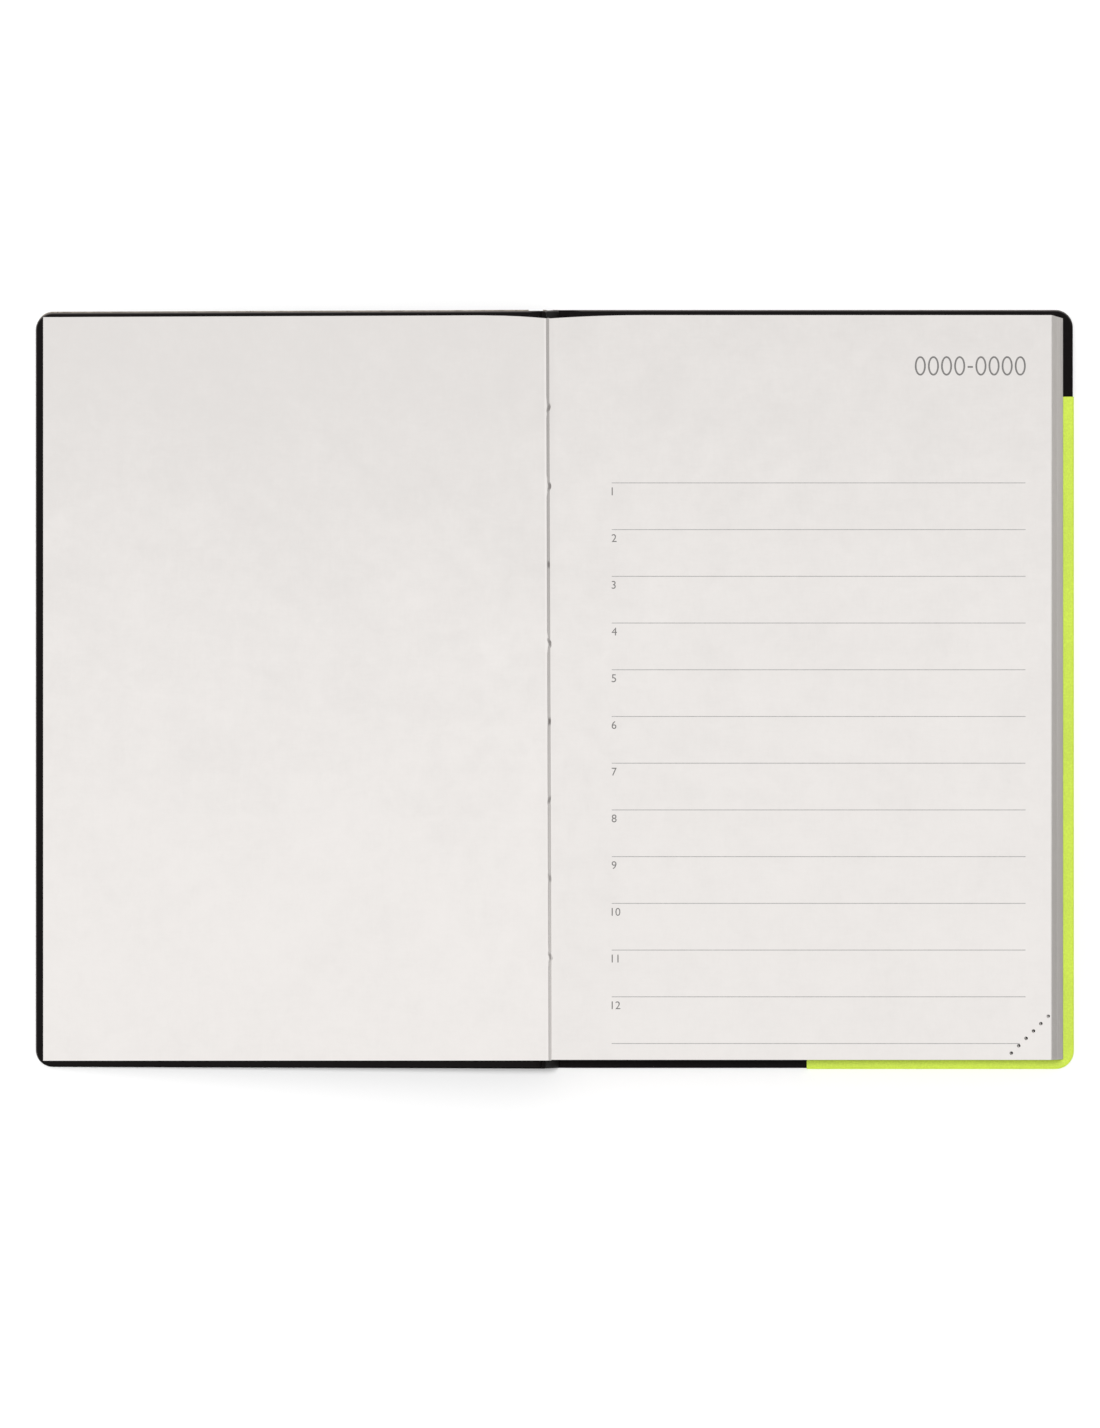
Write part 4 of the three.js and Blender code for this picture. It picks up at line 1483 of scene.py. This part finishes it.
class PLANNER_OT_title_print(bpy.types.Operator):
    """Print ruled lines, running numbers and plain figures on the title leaf"""

    bl_idname = "planner.title_print"
    bl_label = "Title page print"

    def execute(self, context):
        printing = context.scene.planner_print
        perforation_clearance = 0.3 * MM
        lines = []
        for index in range(printing.line_count):
            below = printing.first_line + index * printing.line_pitch
            tear = PAGE_WIDTH - CORNER_LEG + 2 * HALF_PAGE - below
            end = min(printing.line_end, tear - perforation_clearance)
            lines.append(ruled_line(printing, index, end))
        ruled = object_of("ruled_lines", lines, ["line_ink", "line_ink"])
        figures = object_of("plain_figures", figure_sheets(printing), ["figure_ink", "figure_ink"])
        shape = bmesh.new()
        for index in range(printing.line_count - 1):
            running_number(printing, index, shape)
        numbers = object_from("running_numbers", shape, ["figure_ink"], 30)
        for piece in (ruled, figures, numbers):
            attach(piece, "title_leaf")
        return {"FINISHED"}


class PLANNER_OT_front_cover(bpy.types.Operator):
    """Make the front cover's skin and lining paper, and finish its board"""

    bl_idname = "planner.front_cover"
    bl_label = "Front cover"

    def execute(self, context):
        skin = object_of("front_skin", [front_skin_sheet(context.scene.planner_cover)],
                         ["black_skin", "black_skin"], 50)
        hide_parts("front_cover_skin")
        front_point(3.3 * MM, 0, 0)
        front_point(2.25 * MM, 0, 0)
        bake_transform(skin)
        lining = object_of("front_lining", lining_sheets(context.scene.planner_paper),
                           ["shaded_lining_paper", "cut_edge", "crease_shade_paper"])
        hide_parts("front_pastedown", "front_endpaper_fold")
        front_point(2.1 * MM, 0, PASTEDOWN_TOP)
        front_point(0.3 * MM, 0, PASTEDOWN_TOP)
        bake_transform(lining)
        finish_node("front_cover_board", "grey_board")
        return {"FINISHED"}


class PLANNER_OT_back_cover(bpy.types.Operator):
    """Make the back cover's black and lime skins and its papers, and finish its board"""

    bl_idname = "planner.back_cover"
    bl_label = "Back cover"

    def execute(self, context):
        black_sheet, lime_sheet = back_skin_sheets(context.scene.planner_cover)
        black = object_of("back_skin", [black_sheet], ["black_skin", "black_skin"], 50)
        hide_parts("back_cover_skin")
        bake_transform(black)
        lime = object_of("back_lime", [lime_sheet], ["lime_skin", "lime_skin"], 50)
        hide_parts("back_lime_skin")
        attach(lime, "back_cover")
        columns = (0, 0.2, 0.4, 0.6, 0.8, 1, 1.3, 1.6, 2, 2.5, 3, 4, 6)
        low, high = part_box("back_pastedown")
        lining = object_of("back_lining", [back_lining_sheet(low, high, FOOT.x + 0.05 * MM, columns)],
                           ["shaded_lining_paper", "cut_edge"])
        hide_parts("back_pastedown")
        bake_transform(lining)
        low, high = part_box("back_flyleaf")
        flyleaf = object_of("back_free_leaf", [back_lining_sheet(low, high, low.x, columns)],
                            ["shaded_lining_paper", "cut_edge"])
        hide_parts("back_flyleaf")
        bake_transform(flyleaf)
        finish_node("back_cover_board", "grey_board")
        return {"FINISHED"}


class PLANNER_OT_spine(bpy.types.Operator):
    """Make the spine's skin and finish its card, gauze, glue and thread"""

    bl_idname = "planner.spine"
    bl_label = "Spine"

    def execute(self, context):
        skin = object_of("spine_wrap", spine_skin_sheets(context.scene.planner_cover),
                         ["black_skin", "black_skin"], 50)
        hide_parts("spine_skin")
        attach(skin, "block")
        finish_node("spine_card", "grey_board")
        finish_node("spine_mull", "gauze")
        finish_node("spine_glue", "binding_glue")
        for name in THREAD_CHAINS:
            finish_node(name, "sewing_thread")
        return {"FINISHED"}


class PLANNER_OT_stage(bpy.types.Operator):
    """Make the pale table top, the soft light from the head's left, and the camera"""

    bl_idname = "planner.stage"
    bl_label = "Stage"

    def execute(self, context):
        stage = context.scene.planner_stage
        make_camera(context, stage)
        make_table()
        make_lights(context, stage)
        return {"FINISHED"}


def make_camera(context, stage):
    """A camera straight above the gutter, whose picture has the stage's height on the title page."""
    data = bpy.data.cameras.new("camera")
    film_side = 36
    data.sensor_fit = "VERTICAL"
    data.sensor_height = film_side
    data.sensor_width = film_side
    data.lens = data.sensor_height * stage.camera_height / stage.view_height
    data.clip_start = 0.1
    data.clip_end = 50
    camera = bpy.data.objects.new("camera", data)
    camera.location = (GUTTER.x + stage.view_right, stage.view_up, PAGE_TOP + stage.camera_height)
    context.scene.collection.objects.link(camera)
    context.scene.camera = camera


def make_table():
    """A wide round table top, a hair below the planner."""
    radius = 14
    drop = 0.02 * MM
    shape = bmesh.new()
    bmesh.ops.create_circle(shape, cap_ends=True, radius=radius, segments=96)
    for vertex in shape.verts:
        vertex.co.z = -drop
    table = object_from("table_top", shape, ["table_top"], 30)


def make_lights(context, stage):
    """A dome of light that is brighter at the upper left, and a soft lamp nearly overhead."""
    world = bpy.data.worlds.new("studio")
    world.use_nodes = True
    sky = world.node_tree.nodes["Background"]
    sky.inputs["Strength"].default_value = stage.dome_light
    towards = Wire(world.node_tree, None).node("ShaderNodeTexCoord", {}, {}, "Generated")
    slant = 0.7 * stage.dome_slant
    upper_left = towards.axis(1) * slant - towards.axis(0) * slant
    world.node_tree.links.new((upper_left + 1.0).socket, sky.inputs["Color"])
    context.scene.world = world
    towards_key = Vector((-0.1, 0.05, 1))
    key_spread = 8
    key = bpy.data.lights.new("key", "SUN")
    key.energy = stage.key_light
    key.angle = math.radians(key_spread)
    lamp = bpy.data.objects.new("key", key)
    lamp.rotation_euler = towards_key.to_track_quat("Z", "Y").to_euler()
    context.scene.collection.objects.link(lamp)
    context.scene.view_settings.view_transform = "Standard"


class PLANNER_PT_panel(bpy.types.Panel):
    """Lists the planner's operators in the sidebar"""

    bl_idname = "PLANNER_PT_panel"
    bl_label = "Daily planner"
    bl_space_type = "VIEW_3D"
    bl_region_type = "UI"
    bl_category = "Planner"

    def draw(self, context):
        for operator in OPERATORS:
            self.layout.operator(operator.bl_idname)


OPERATORS = (
    PLANNER_OT_stage,
    PLANNER_OT_leaves,
    PLANNER_OT_title_leaf,
    PLANNER_OT_title_print,
    PLANNER_OT_front_cover,
    PLANNER_OT_back_cover,
    PLANNER_OT_spine,
)

SETTINGS = {
    "planner_paper": PaperSettings,
    "planner_print": PrintSettings,
    "planner_cover": CoverSettings,
    "planner_sewing": SewingSettings,
    "planner_stage": StageSettings,
}


def register():
    for name, group in SETTINGS.items():
        bpy.utils.register_class(group)
        setattr(bpy.types.Scene, name, PointerProperty(type=group))
    for operator in OPERATORS:
        bpy.utils.register_class(operator)
    bpy.utils.register_class(PLANNER_PT_panel)


def unregister():
    bpy.utils.unregister_class(PLANNER_PT_panel)
    for operator in reversed(OPERATORS):
        bpy.utils.unregister_class(operator)
    for name, group in SETTINGS.items():
        delattr(bpy.types.Scene, name)
        bpy.utils.unregister_class(group)


def main():
    register()
    for operator in OPERATORS:
        group, name = operator.bl_idname.split(".")
        getattr(getattr(bpy.ops, group), name)()


if __name__ == "__main__":
    main()
